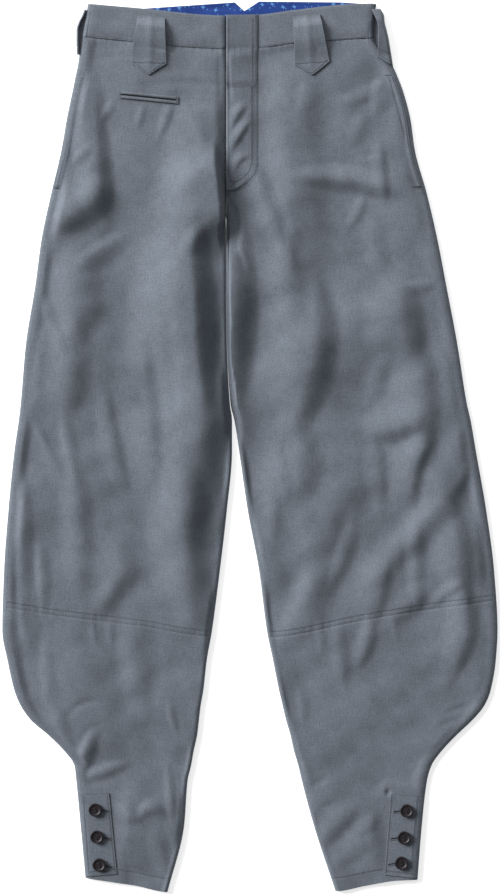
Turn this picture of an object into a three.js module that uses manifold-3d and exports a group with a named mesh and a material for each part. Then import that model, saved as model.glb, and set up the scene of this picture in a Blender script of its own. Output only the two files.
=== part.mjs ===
// Knickerbockers: wide work trousers with a high waistband, four pointed belt loops, a fly,
// a welt pocket, side pockets, a seam round each knee and a buttoned placket at each ankle.
// They lie flat, front up: the backs rest on the floor, their side edges turn up to the side
// seams, and the fronts lie on them with their folds.
// Millimetres. +Z is up, +Y points to the waist and +X to the wearer's left.
import * as THREE from "three";
import { mergeVertices } from "three/addons/utils/BufferGeometryUtils.js";
import Module from "manifold-3d";

const wasm = await Module();
wasm.setup();

// ---------------------------------------------------------------- driving dimensions

const CLOTH = 1.5; // wall of one panel with its turnings
const BAND_CLOTH = 2.2; // waistband, several layers
const LINING_CLOTH = 1;
const SEAM = 0.3; // space between two pieces at a seam
const ROLL_HIGH = 7; // height of the turned cloth along a side edge
const ROLL_DEEP = 4.5; // distance from the side edge to the side seam
const LOWEST_FRONT = 2 * CLOTH + SEAM; // outer face of a front that lies on its back
const SIDE_CALM = 6; // strip along a side seam with no fold
const OUTER_EASE = 12; // width over which folds die out towards it
const INNER_EASE = 6; // the same towards an inseam or the centre front
const BAND_EASE = 12; // the same towards the waist seam
const BAND_RAMP = { below: 6, over: 5 }; // where the cloth climbs to the waistband's height
const PLACKET_EASE = { start: 4, over: 20 }; // strip beside an ankle placket where folds die out
const STEEPEST = 1.3; // most that a slope adds to a wall measured straight down
const CROTCH_TOP = 294; // where the inner edges of the backs begin to turn up
const CROTCH_END = 231; // where they are turned all the way
const CENTRE = -27; // centre front and centre back, X

const LOOP = { wall: 1.8, stand: 5.4, ease: 9 };
const LOOP_STEPS = { along: 10, across: 4 };
// A side loop: its top end, its bend over the side edge (radius, most of the strap's width that
// it takes, height of its middle), how the strap falls towards it, and the underside on the
// floor with its space to the side edge.
const SIDE_LOOP = {
  top: 501, bend: 4.5, bendShare: 0.8, middle: 3.5, fall: 0.25, flatHigh: 9.4, low: 0.2, clear: 0.6,
};
const SIDE_FEET = { right: { corner: 450, tip: 450 }, left: { corner: 447, tip: 436 } };
const SIDE_POINT = 0.75; // how far down the point the strap is where its bend begins
const POCKET_STRIP = { top: 424, bottom: 298, wide: 5.5, wall: 1.2 };
const WELT = { wide: 3.4, wall: 1.5, slit: 1 };
const PLACKET_WALL = 1.5;
const BAND_ROWS = 2;
const FLY_COLUMNS = 4;
const FLY_ROWS = [0, 0.1, 0.19, 0.28, 0.4, 0.52, 0.64, 0.76, 0.85, 0.9, 0.94, 0.97, 0.99, 1];
const WELT_STEPS = { along: 10, across: 2 };
const STRIP_STEPS = { along: 10, across: 2 };
const PLACKET_ROWS = 10;
const PLACKET_COLUMNS = [0, 0.06, 0.15, 0.5, 1];
const FLY = { right: 10, square: 323, foot: 293, footWide: 9, wall: 1.5 };
const BUTTON = { radius: 7.5, plate: 1.9, rimHigh: 1.1, rimWide: 1.6, bevel: 0.7, hole: 0.9, holePitch: 1.7 };
const CORNERS = { plate: 16, hole: 5 };

const COLOURS = { cloth: 0x69707a, lining: 0x1f3d74, button: 0x1f1a20 };

// Rows of numbers with named columns, as a list of objects.
function table(columns, rows) {
  const names = columns.split(" ");
  return rows.map((row) => Object.fromEntries(names.map((name, i) => [name, row[i]])));
}

// Outline: the side edges of each leg and the edges between the legs. Above the crotch both
// inner edges are the centre line.
const OUTLINE = table("y rightOuter rightInner leftInner leftOuter", [
  [512, -185, CENTRE, CENTRE, 147],
  [492, -188, CENTRE, CENTRE, 143],
  [478, -190.5, CENTRE, CENTRE, 142],
  [466, -192.5, CENTRE, CENTRE, 142.8],
  [455, -194.5, CENTRE, CENTRE, 149.5],
  [444, -196, CENTRE, CENTRE, 158.5],
  [435, -197.5, CENTRE, CENTRE, 165.3],
  [426, -199.5, CENTRE, CENTRE, 169.3],
  [409, -203, CENTRE, CENTRE, 176],
  [375, -210, CENTRE, CENTRE, 185],
  [340, -216, CENTRE, CENTRE, 190],
  [289, -228, CENTRE, CENTRE, 204],
  [237, -239, -27, -25, 216],
  [185, -246, -27, -25, 226],
  [116, -257, -26, -24, 239],
  [47, -263, -23, -20, 250],
  [30, -265, -19, -17, 254],
  [-5, -270, -20, -12, 260],
  [-74, -277, -26, -2, 272],
  [-143, -282, -34, 11, 281],
  [-212, -284, -43, 20, 285],
  [-246, -278, -49, 27, 283],
  [-281, -270, -53, 34, 277],
  [-298, -263, -56, 38, 270],
  [-315, -251, -58, 42, 256],
  [-332, -231, -60, 47, 238],
  [-350, -213, -64, 51, 221],
  [-367, -201, -67, 56, 209],
  [-384, -199, -71, 60, 204],
  [-436, -194, -75, 74, 198],
  [-512, -187, -94, 99, 192],
]);

// Seams and edges that run across, as heights along X.
const FRONT_TOP = table("x y", [
  [-190, 508], [-133, 503], [-27, 494], [10, 495], [49, 500], [116, 507], [150, 508],
]);
const BACK_TOP = table("x y", [
  [-190, 506], [-133, 501], [-17, 510], [-6, 500], [11, 511], [104, 510], [150, 507],
]);
// Round the back the waist seam is straight from each side to the centre.
const BACK_SEAM = table("x y", [[-192, 470], [CENTRE, 457], [160, 470]]);
const WAIST_SEAM = table("x y", [
  [-192, 470], [-133, 464], [-86, 459], [-27, 456], [10, 457], [49, 462], [90, 465], [160, 470],
]);
const KNEE_SEAM = table("x y", [
  [-284, -183], [-224, -192], [-170, -199], [-126, -204], [-45, -216],
  [28, -219], [58, -215], [104, -205], [140, -198], [196, -189], [281, -177],
]);
const HEM = table("x y", [
  [-188, -496], [-130, -505], [-94, -512], [99, -511], [134, -505], [168, -499], [192, -498],
]);

// Folds of the fronts. Each runs from 1 through 2 to 3, downwards or towards the wearer's
// right. It slopes over "lit" on the wearer's right or upper side and over "shade" on the
// other, and rises by "rise". A "tuck" of 1 ends the shaded side in a sharp crease.
const FOLD_COLUMNS = "name x1 y1 x2 y2 x3 y3 lit shade rise tuck";
const RIGHT_FOLDS = table(FOLD_COLUMNS, [
  ["pocket back", -175, 384, -172, 340, -167, 258, 23, 15, 6, 0.5],
  ["hip cross", -167, 301, -188, 278, -220, 254, 28, 25, 8, 0.8],
  ["thigh front", -71, 223, -78, 147, -62, 67, 67, 29, 12, 0.9],
  ["thigh low", -60, 85, -58, 7, -67, -68, 64, 36, 11, 0.4],
  ["knee inner", -75, -41, -73, -110, -60, -179, 46, 23, 6, 0.5],
  ["crotch side", -42, 354, -41, 292, -35, 218, 39, 14, 5, 0.6],
  ["thigh outer", -195, 216, -197, 170, -194, 120, 30, 33, 5, 0],
  ["knee tuck", -126, 120, -119, 53, -112, -32, 30, 16, 3.6, 0],
  ["knee side", -200, -32, -197, -85, -195, -152, 25, 23, 3.4, 0],
  ["knee seam", -150, -106, -149, -140, -159, -168, 17, 20, 4.2, 0.4],
  ["calf front", -134, -202, -131, -246, -126, -297, 20, 22, 3.6, 0],
  ["ankle tuck", -180, -330, -190, -352, -196, -371, 10, 15, 5, 0.8],
]);
const LEFT_FOLDS = table(FOLD_COLUMNS, [
  ["hip arc", 171, 292, 136, 304, 102, 305, 14, 17, 3.4, 0],
  ["inner ridge", -25, 269, -13, 154, -24, 60, 7, 20, 5, 0.8],
  ["thigh front", 67, 161, 68, 105, 62, 48, 69, 23, 9, 0.9],
  ["thigh low", 64, 67, 56, 32, 32, -7, 46, 28, 7, 0.6],
  ["knee front high", 63, 9, 60, -39, 56, -90, 23, 21, 4.2, 0],
  ["knee front middle", 57, -78, 68, -120, 65, -161, 25, 32, 4.4, 0],
  ["knee front low", 73, -140, 66, -179, 43, -218, 23, 28, 4.2, 0],
  ["knee middle", 126, 3, 117, -39, 94, -78, 32, 16, 5, 0],
  ["thigh side high", 171, 182, 173, 139, 183, 97, 46, 28, 6.5, 0.8],
  ["thigh side low", 182, 117, 190, 70, 188, 14, 34, 23, 6.5, 0.9],
  ["knee cross", 196, 30, 167, 25, 132, 15, 14, 21, 4.6, 0.3],
  ["knee bright", 202, 1, 187, -28, 187, -71, 31, 16, 4.2, 0],
  ["side ridge high", 246, 12, 233, -32, 214, -74, 23, 16, 7.5, 0.2],
  ["side ridge low", 220, -61, 196, -94, 170, -124, 22, 20, 7.5, 0.2],
  ["side valley high", 227, -66, 237, -120, 242, -184, 16, 21, 5.4, 0.8],
  ["side valley low", 241, -163, 247, -207, 232, -259, 16, 17, 4.8, 0.7],
  ["ankle fold", 120, -414, 99, -434, 82, -453, 16, 16, 3.4, 0.2],
]);

// Belt loops of the front: corners of the strap and its point.
const FRONT_LOOPS = table("side topIn topInY topOut topOutY lowIn lowInY lowOut lowOutY tip tipY", [
  ["right", -97, 491, -128, 494, -95, 438, -136, 440, -116, 425],
  ["left", 50, 492, 81, 495, 52, 437, 92, 441, 72, 425],
]);

// Side loops: X of the strap's front edge and of its outermost line, and the height of its
// outer face at the front edge. The right one lies behind the side edge and shows edge on.
const SIDE_LOOPS = table("side y front limit high", [
  ["right", 501, -187.2, -189.8, 6.5],
  ["right", 494, -190, -192.6, 7],
  ["right", 486, -194, -196.6, 7.4],
  ["right", 478, -196.2, -198.8, 7.5],
  ["right", 466, -196.3, -198.9, 7.5],
  ["right", 450, -195.9, -198.5, 7],
  ["left", 501, 140, 151, 9.8],
  ["left", 494, 143.2, 154.6, 11.5],
  ["left", 486, 146.6, 155.4, 13.3],
  ["left", 478, 147.9, 157.5, 13.6],
  ["left", 467, 147.9, 160, 13.4],
  ["left", 455, 147, 162, 11.5],
  ["left", 447, 146.6, 163.3, 9.4],
  ["left", 436, 146.6, 165, 9.4],
]);

// Ankle plackets: corners, outer edge first.
const ANKLES = table("side outTop outTopY inTop inTopY outLow outLowY inLow inLowY", [
  ["right", -196, -400, -161, -398, -187, -494, -152, -491],
  ["left", 201, -402, 162, -399, 192, -496, 155, -492],
]);
const BUTTONS = table("side number x y", [
  ["right", 1, -177, -417],
  ["right", 2, -175, -448],
  ["right", 3, -172.5, -480],
  ["left", 1, 180, -418],
  ["left", 2, 177, -449],
  ["left", 3, 174, -478],
]);
// The small pocket: the middle of its slit from the outer to the inner end.
const SLIT = { outX: -148, outY: 403, inX: -83, inY: 396.5 };

// How far each panel is divided.
const STEPS = { calmColumn: 0.033, across: 15, upperDown: 27, hipDown: 4, calfDown: 12 };

// ---------------------------------------------------------------- curves and blends

const lerp = (a, b, t) => a + (b - a) * t;
const clamp01 = (t) => Math.min(1, Math.max(0, t));
const smooth = (t) => clamp01(t) ** 2 * (3 - 2 * clamp01(t));

// A smooth function through the rows of a table, with no overshoot between them.
function through(rows, across, up) {
  const sorted = [...rows].sort((a, b) => a[across] - b[across]);
  const xs = sorted.map((row) => row[across]);
  const ys = sorted.map((row) => row[up]);
  const rises = xs.slice(1).map((x, i) => (ys[i + 1] - ys[i]) / (x - xs[i]));
  const slopes = xs.map((_, i) => {
    const before = rises[Math.max(0, i - 1)];
    const after = rises[Math.min(rises.length - 1, i)];
    return before * after <= 0 ? 0 : (2 * before * after) / (before + after);
  });
  return (x) => {
    const last = xs.length - 2;
    const found = xs.findIndex((edge) => edge > x) - 1;
    const i = found === -2 ? last : Math.max(0, found);
    const wide = xs[i + 1] - xs[i];
    const t = clamp01((x - xs[i]) / wide);
    return (
      ys[i] * (1 + 2 * t) * (1 - t) ** 2 +
      ys[i + 1] * t ** 2 * (3 - 2 * t) +
      wide * (slopes[i] * t * (1 - t) ** 2 - slopes[i + 1] * t ** 2 * (1 - t))
    );
  };
}

// Straight lines between the rows, for edges with corners.
function straight(rows, across, up) {
  return (x) => {
    const next = rows.findIndex((row) => row[across] > x);
    const i = next === -1 ? rows.length - 2 : Math.max(0, next - 1);
    const [a, b] = [rows[i], rows[i + 1]];
    return lerp(a[up], b[up], clamp01((x - a[across]) / (b[across] - a[across])));
  };
}

const frontTop = through(FRONT_TOP, "x", "y");
const backTop = straight(BACK_TOP, "x", "y");
const waistSeam = through(WAIST_SEAM, "x", "y");
const backSeam = straight(BACK_SEAM, "x", "y");
const kneeSeam = through(KNEE_SEAM, "x", "y");
const hem = through(HEM, "x", "y");

// One leg and its half of the hips. "inward" is +1 where the inner edge has the larger X.
class Leg {
  constructor(side, inward, folds) {
    this.side = side;
    this.inward = inward;
    this.folds = folds;
    this.outer = through(OUTLINE, "y", side + "Outer");
    this.inner = through(OUTLINE, "y", side + "Inner");
  }
  // 0 where the backs lie flat under the fronts, 1 where the leg is a tube of its own.
  turned(y) {
    return smooth((CROTCH_TOP - y) / (CROTCH_TOP - CROTCH_END));
  }
  outerSeam(y) {
    return this.outer(y) + this.inward * ROLL_DEEP;
  }
  innerSeam(y) {
    return this.inner(y) - this.inward * lerp(SEAM / 2, ROLL_DEEP, this.turned(y));
  }
}
const LEGS = [new Leg("right", 1, RIGHT_FOLDS), new Leg("left", -1, LEFT_FOLDS)];
const [RIGHT, LEFT] = LEGS;

// ---------------------------------------------------------------- heights of the cloth

const PATH_STEPS = 8;

// Points along a fold, through its middle.
function foldPath(fold) {
  const start = new THREE.Vector2(fold.x1, fold.y1);
  const end = new THREE.Vector2(fold.x3, fold.y3);
  const pull = new THREE.Vector2(fold.x2, fold.y2).multiplyScalar(2);
  pull.addScaledVector(start, -0.5).addScaledVector(end, -0.5);
  return new THREE.QuadraticBezierCurve(start, pull, end).getPoints(PATH_STEPS);
}
for (const leg of LEGS) for (const fold of leg.folds) fold.path = foldPath(fold);

// Height that one fold adds at a point: the nearest place on its path gives how far along and
// how far across the point lies.
function foldRise(fold, x, y) {
  let nearest = { far: Infinity, along: 0, across: 0 };
  for (let i = 0; i < PATH_STEPS; i++) {
    const [a, b] = [fold.path[i], fold.path[i + 1]];
    const [dx, dy] = [b.x - a.x, b.y - a.y];
    const t = clamp01(((x - a.x) * dx + (y - a.y) * dy) / (dx * dx + dy * dy));
    const far = Math.hypot(x - a.x - t * dx, y - a.y - t * dy);
    const turn = Math.sign(dx * (y - a.y) - dy * (x - a.x));
    if (far < nearest.far) nearest = { far, along: (i + t) / PATH_STEPS, across: turn * far };
  }
  const wide = nearest.across > 0 ? fold.shade : fold.lit;
  const d = Math.min(1, nearest.far / wide);
  const soft = 0.5 + 0.5 * Math.cos(Math.PI * d);
  const sharp = Math.cos((Math.PI / 2) * d);
  const tuck = nearest.across > 0 ? fold.tuck : 0;
  const ends = smooth(4 * nearest.along) * smooth(4 * (1 - nearest.along));
  return fold.rise * ends * lerp(soft, sharp, tuck);
}

// Height of the turned edge at a distance in from it.
function rollHeight(inside) {
  const t = clamp01(inside / ROLL_DEEP);
  return (ROLL_HIGH / 2) * (1 + Math.sqrt(1 - (1 - t) ** 2));
}

// The flat place under an ankle placket, where no fold runs.
function overPlacket(leg, x, y) {
  const ankle = ANKLES.find((row) => row.side === leg.side);
  const inside = leg.inward * (x - ankle.inTop);
  const { start, over } = PLACKET_EASE;
  return smooth((inside - start) / over) + smooth((y - ankle.outTopY - start) / over);
}

// Outer face of a front.
function frontHeight(leg, x, y) {
  const fromOuter = leg.inward * (x - leg.outerSeam(y));
  if (fromOuter < 0) return rollHeight(ROLL_DEEP + fromOuter);
  const fromInner = leg.inward * (leg.innerSeam(y) - x);
  const calm =
    smooth((fromOuter - SIDE_CALM) / OUTER_EASE) *
    smooth(fromInner / INNER_EASE) *
    smooth((waistSeam(x) - y) / BAND_EASE) *
    clamp01(overPlacket(leg, x, y));
  const folds = leg.folds.reduce((sum, fold) => sum + foldRise(fold, x, y), 0);
  return Math.max(LOWEST_FRONT, ROLL_HIGH + calm * folds);
}

// Outer face with the waistband's extra layers.
const BAND_LIFT = BAND_CLOTH - CLOTH;
function dressedHeight(leg, x, y) {
  return frontHeight(leg, x, y) + BAND_LIFT * smooth((y - waistSeam(x) + BAND_RAMP.below) / BAND_RAMP.over);
}

// ---------------------------------------------------------------- closed walls

// A closed wall between two grids of points, one for each face.
function closedWall(outside, inside) {
  const rows = outside.length;
  const columns = outside[0].length;
  const positions = [...outside, ...inside].flatMap((row) => row.flatMap((p) => [p.x, p.y, p.z]));
  const at = (face, i, j) => (face * rows + i) * columns + j;
  const index = [];
  const quad = (a, b, c, d) => index.push(a, b, c, a, c, d);
  for (let i = 0; i < rows - 1; i++) {
    for (let j = 0; j < columns - 1; j++) {
      quad(at(0, i, j), at(0, i + 1, j), at(0, i + 1, j + 1), at(0, i, j + 1));
      quad(at(1, i, j), at(1, i, j + 1), at(1, i + 1, j + 1), at(1, i + 1, j));
    }
    quad(at(0, i, 0), at(1, i, 0), at(1, i + 1, 0), at(0, i + 1, 0));
    const end = columns - 1;
    quad(at(0, i + 1, end), at(1, i + 1, end), at(1, i, end), at(0, i, end));
  }
  for (let j = 0; j < columns - 1; j++) {
    const end = rows - 1;
    quad(at(0, 0, j + 1), at(1, 0, j + 1), at(1, 0, j), at(0, 0, j));
    quad(at(0, end, j), at(1, end, j), at(1, end, j + 1), at(0, end, j + 1));
  }
  const geometry = new THREE.BufferGeometry();
  geometry.setAttribute("position", new THREE.Float32BufferAttribute(positions, 3));
  geometry.setIndex(index);
  if (volumeOf(geometry) < 0) turnOver(geometry);
  return geometry;
}

function volumeOf(geometry) {
  const points = geometry.getAttribute("position");
  const [a, b, c] = [new THREE.Vector3(), new THREE.Vector3(), new THREE.Vector3()];
  const index = geometry.index.array;
  let six = 0;
  for (let i = 0; i < index.length; i += 3) {
    a.fromBufferAttribute(points, index[i]);
    b.fromBufferAttribute(points, index[i + 1]);
    c.fromBufferAttribute(points, index[i + 2]);
    six += a.dot(b.cross(c));
  }
  return six / 6;
}

function turnOver(geometry) {
  const index = geometry.index.array;
  for (let i = 0; i < index.length; i += 3) {
    [index[i + 1], index[i + 2]] = [index[i + 2], index[i + 1]];
  }
}

const range = (count) => Array.from({ length: count + 1 }, (_, i) => i / count);

// Places on the cloth: "across" is X as a function of Y, "top" and "bottom" are Y as functions
// of X. The place where they cross is found by going back and forth between them.
const CROSSINGS = 5;
function placeOn(across, top, bottom, down) {
  let x = across(0);
  let y = 0;
  for (let i = 0; i < CROSSINGS; i++) {
    y = lerp(top(x), bottom(x), down);
    x = across(y);
  }
  return { x, y };
}

// A wall that follows a face "height" from "lift" above it to "lift" plus "thick".
function wallOn({ rightEdge, leftEdge, top, bottom, columns, rows, height, lift, thick }) {
  const places = rows.map((down) =>
    columns.map((u) => placeOn((y) => lerp(rightEdge(y), leftEdge(y), u), top, bottom, down)),
  );
  const face = (up) =>
    places.map((row) => row.map(({ x, y }) => new THREE.Vector3(x, y, height(x, y) + up)));
  return closedWall(face(lift + thick), face(lift));
}

// Thickness measured straight down, worked out so that a sloping panel keeps its wall.
const SLOPE_STEP = 3;
function uprightWall(leg, x, y, thick) {
  const dx = frontHeight(leg, x + SLOPE_STEP, y) - frontHeight(leg, x - SLOPE_STEP, y);
  const dy = frontHeight(leg, x, y + SLOPE_STEP) - frontHeight(leg, x, y - SLOPE_STEP);
  return thick * Math.min(STEEPEST, Math.hypot(1, dx / (2 * SLOPE_STEP), dy / (2 * SLOPE_STEP)));
}

// ---------------------------------------------------------------- the pieces

const group = new THREE.Group();
const clothFinish = { color: COLOURS.cloth, roughness: 0.9, metalness: 0 };
const liningFinish = { color: COLOURS.lining, roughness: 0.6, metalness: 0 };
const buttonFinish = { color: COLOURS.button, roughness: 0.35, metalness: 0 };

function add(name, geometry, finish) {
  const mesh = new THREE.Mesh(geometry, new THREE.MeshStandardMaterial(finish));
  mesh.name = name;
  group.add(mesh);
}

// Columns of a front: the first is the calm strip along the side seam.
const FRONT_COLUMNS = [0, ...range(STEPS.across).map((t) => lerp(STEPS.calmColumn, 1, t))];

// A front panel between two seams. "down" lists its rows, from 0 at the top to 1.
function frontPanel(leg, top, bottom, down) {
  const outerEdge = (y) => leg.outerSeam(y) + leg.inward * SEAM;
  const innerEdge = (y) => leg.innerSeam(y) - leg.inward * SEAM * leg.turned(y);
  const places = down.map((v) =>
    FRONT_COLUMNS.map((u) => placeOn((y) => lerp(outerEdge(y), innerEdge(y), u), top, bottom, v)),
  );
  const outside = places.map((row) =>
    row.map(({ x, y }) => new THREE.Vector3(x, y, frontHeight(leg, x, y))),
  );
  const inside = outside.map((row) =>
    row.map((p) => new THREE.Vector3(p.x, p.y, p.z - uprightWall(leg, p.x, p.y, CLOTH))),
  );
  return closedWall(outside, inside);
}

// Stations round a back: up a turned edge, across the floor and up the other edge.
const ROLL_STATIONS = [0, 0.28, 0.5, 0.72, 1];
const FLOOR_STATIONS = [0.33, 0.67];

// A point of a turned edge, on its outer face (skin 0) or its inner face (skin = the wall).
function rollPoint(edge, outward, part, turned, skin) {
  const angle = Math.PI * (part - 0.5);
  const [deep, high] = [ROLL_DEEP - skin, ROLL_HIGH / 2];
  const curled = {
    x: edge + outward * (deep * Math.cos(angle) - ROLL_DEEP),
    z: high + (high - skin) * Math.sin(angle),
  };
  const flat = { x: edge - outward * lerp(ROLL_DEEP, SEAM / 2, part), z: skin };
  return { x: lerp(flat.x, curled.x, turned), z: lerp(flat.z, curled.z, turned) };
}

// A back panel of one leg between two seams.
function backPanel(leg, top, bottom, down) {
  const outward = -leg.inward;
  const section = (station, y, skin) => {
    if (station.roll === "outer") {
      return rollPoint(leg.outer(y), outward, station.part, 1, skin);
    }
    const inner = (part) => rollPoint(leg.inner(y), leg.inward, part, leg.turned(y), skin);
    if (station.roll === "inner") return inner(station.part);
    const from = rollPoint(leg.outer(y), outward, 0, 1, skin);
    return { x: lerp(from.x, inner(0).x, station.part), z: skin };
  };
  const stations = [
    ...[...ROLL_STATIONS].reverse().map((part) => ({ roll: "outer", part })),
    ...FLOOR_STATIONS.map((part) => ({ roll: "none", part })),
    ...ROLL_STATIONS.map((part) => ({ roll: "inner", part })),
  ];
  const face = (skin) =>
    down.map((v) =>
      stations.map((station) => {
        const { x, y } = placeOn((at) => section(station, at, skin).x, top, bottom, v);
        return new THREE.Vector3(x, y, section(station, y, skin).z);
      }),
    );
  return closedWall(face(0), face(CLOTH));
}

function addPanels() {
  const below = (edge) => (x) => edge(x) - SEAM / 2;
  const above = (edge) => (x) => edge(x) + SEAM / 2;
  const [first, ...others] = range(STEPS.upperDown).slice(1);
  const upperDown = [...range(STEPS.hipDown).map((t) => first * t), ...others];
  const calfDown = range(STEPS.calfDown);
  for (const leg of LEGS) {
    const front = frontPanel(leg, below(waistSeam), above(kneeSeam), upperDown);
    const shin = frontPanel(leg, below(kneeSeam), hem, calfDown);
    const back = backPanel(leg, below(backSeam), above(kneeSeam), upperDown);
    const calf = backPanel(leg, below(kneeSeam), hem, calfDown);
    add(`front_${leg.side}_upper`, front, clothFinish);
    add(`front_${leg.side}_calf`, shin, clothFinish);
    add(`back_${leg.side}_upper`, back, clothFinish);
    add(`back_${leg.side}_calf`, calf, clothFinish);
  }
}

// The waistband: two lengths on the fronts and one round the back, whose ends turn up.
const LINING_ENDS = { right: -145, left: 124, drop: 1 };

function addWaistband() {
  for (const leg of LEGS) {
    const band = wallOn({
      rightEdge: (y) => leg.outerSeam(y) + leg.inward * SEAM,
      leftEdge: () => CENTRE - (leg.inward * SEAM) / 2,
      top: frontTop,
      bottom: (x) => waistSeam(x) + SEAM / 2,
      columns: FRONT_COLUMNS,
      rows: range(BAND_ROWS),
      height: () => ROLL_HIGH - CLOTH,
      lift: 0,
      thick: BAND_CLOTH,
    });
    add(`waistband_front_${leg.side}`, band, clothFinish);
  }
  const seamTop = (x) => backSeam(x) + SEAM / 2;
  add("waistband_back", backBand(seamTop), clothFinish);
  const { right, left, drop } = LINING_ENDS;
  const corners = BACK_TOP.slice(1, -1).map((row) => row.x);
  const lining = wallOn({
    rightEdge: () => right,
    leftEdge: () => left,
    top: (x) => backTop(x) - drop,
    bottom: seamTop,
    columns: [right, ...corners, left].map((x) => (x - right) / (left - right)),
    rows: range(BAND_ROWS),
    height: () => BAND_CLOTH,
    lift: SEAM,
    thick: LINING_CLOTH,
  });
  add("waistband_back_lining", lining, liningFinish);
}

// The back waistband, all round from one side seam to the other. Its stations fall on the
// corners of the notch and on the centre of the waist seam.
function backBand(seamTop) {
  const high = (ROLL_HIGH + BAND_LIFT) / 2;
  const roll = (leg, part, skin) => (y) => {
    const angle = Math.PI * (part - 0.5);
    return {
      x: leg.outer(y) + leg.inward * (ROLL_DEEP - (ROLL_DEEP - skin) * Math.cos(angle)),
      z: high + (high - skin) * Math.sin(angle),
    };
  };
  const corners = [...BACK_TOP.slice(1, -1).map((row) => row.x), CENTRE].sort((a, b) => a - b);
  const stations = (skin) => [
    ...[...ROLL_STATIONS].reverse().map((part) => roll(RIGHT, part, skin)),
    ...corners.map((x) => () => ({ x, z: skin })),
    ...ROLL_STATIONS.map((part) => roll(LEFT, part, skin)),
  ];
  const face = (skin) =>
    range(BAND_ROWS).map((v) =>
      stations(skin).map((section) => {
        const { x, y } = placeOn((at) => section(at).x, backTop, seamTop, v);
        return new THREE.Vector3(x, y, section(y).z);
      }),
    );
  return closedWall(face(0), face(BAND_CLOTH));
}

// The fly: a strip down the centre front that lies on the left front and its waistband. Its
// foot curves in to the edge.
function addFly() {
  const edge = CENTRE + SEAM / 2;
  const curve = (y) => {
    const t = clamp01((y - FLY.foot) / (FLY.square - FLY.foot));
    return lerp(edge + FLY.footWide, FLY.right, Math.sqrt(1 - (1 - t) ** 2));
  };
  const fly = wallOn({
    rightEdge: () => edge,
    leftEdge: curve,
    top: frontTop,
    bottom: () => FLY.foot,
    columns: range(FLY_COLUMNS),
    rows: FLY_ROWS,
    height: (x, y) => dressedHeight(LEFT, x, y),
    lift: SEAM,
    thick: FLY.wall,
  });
  add("fly_placket", fly, clothFinish);
}

// How far a belt loop stands off between its sewn ends.
function standOff(fromTop, fromFoot) {
  return LOOP.stand * smooth(fromTop / LOOP.ease) * smooth(fromFoot / LOOP.ease);
}

function addFrontLoops() {
  for (const loop of FRONT_LOOPS) {
    const leg = LEGS.find((one) => one.side === loop.side);
    const corner = (name, u) => ({
      x: lerp(loop[name + "Out"], loop[name + "In"], u),
      y: lerp(loop[name + "OutY"], loop[name + "InY"], u),
    });
    const face = (up) =>
      range(LOOP_STEPS.along).map((v) =>
        range(LOOP_STEPS.across).map((u) => {
          const [top, low] = [corner("top", u), corner("low", u)];
          const toTip = 1 - Math.abs(2 * u - 1);
          const foot = low.y - toTip * (low.y - loop.tipY);
          const [x, y] = [lerp(top.x, low.x, v), lerp(top.y, foot, v)];
          const seat = Math.max(dressedHeight(leg, x, y), ROLL_HIGH + BAND_LIFT) + SEAM;
          return new THREE.Vector3(x, y, seat + standOff(top.y - y, y - low.y) + up);
        }),
      );
    add(`belt_loop_front_${loop.side}`, closedWall(face(LOOP.wall), face(0)), clothFinish);
  }
}

// Places across a side loop: along the flat of the strap, down its bend, and down its side to
// where it turns in under the edge.
const ACROSS_SIDE_LOOP = [
  ...range(2).map((t) => ({ part: "flat", t, toPoint: SIDE_POINT * t })),
  ...range(3).slice(1).map((t) => ({ part: "bend", t, toPoint: lerp(SIDE_POINT, 1, t) })),
  ...["side", "foot", "end"].map((part) => ({ part, toPoint: 1 })),
];

// How far out from the side edge, and how high, a place across a side loop lies. "near" and
// "far" are those of the strap's front edge and of its outermost line.
function sideLoopSection({ part, t }, near, far, high, skin) {
  const { bend, bendShare, middle, fall, flatHigh, low, clear } = SIDE_LOOP;
  const radius = Math.min(bend, bendShare * (far - near));
  const drop = fall * Math.max(0, high - flatHigh);
  const inside = skin / LOOP.wall;
  switch (part) {
    case "flat":
      return { out: lerp(near, far - radius, t), z: high - drop * t - skin };
    case "bend": {
      const angle = (t * Math.PI) / 2;
      const rise = high - drop - middle - skin;
      return { out: far - radius + (radius - skin) * Math.sin(angle), z: middle + rise * Math.cos(angle) };
    }
    case "side":
      return { out: far - skin, z: low + skin + LOOP.wall / 2 };
    case "foot":
      return { out: far - LOOP.wall * lerp(0.8, 1.05, inside), z: low + skin };
    default:
      return { out: clear, z: low + skin };
  }
}

// A side loop is folded round the side edge of the band and stands off it.
function addSideLoops() {
  for (const leg of LEGS) {
    const strap = SIDE_LOOPS.filter((row) => row.side === leg.side);
    const [front, limit, high] = ["front", "limit", "high"].map((name) => through(strap, "y", name));
    const outOf = (x, y) => leg.inward * (leg.outer(y) - x);
    const { corner, tip } = SIDE_FEET[leg.side];
    const face = (skin) =>
      range(LOOP_STEPS.along).map((v) =>
        ACROSS_SIDE_LOOP.map((place) => {
          const y = lerp(SIDE_LOOP.top, lerp(corner, tip, place.toPoint), v);
          const [near, far] = [outOf(front(y), y), outOf(limit(y), y)];
          const { out, z } = sideLoopSection(place, near, far, high(y), skin);
          return new THREE.Vector3(leg.outer(y) - leg.inward * out, y, z);
        }),
      );
    add(`belt_loop_side_${leg.side}`, closedWall(face(0), face(LOOP.wall)), clothFinish);
  }
}

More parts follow.
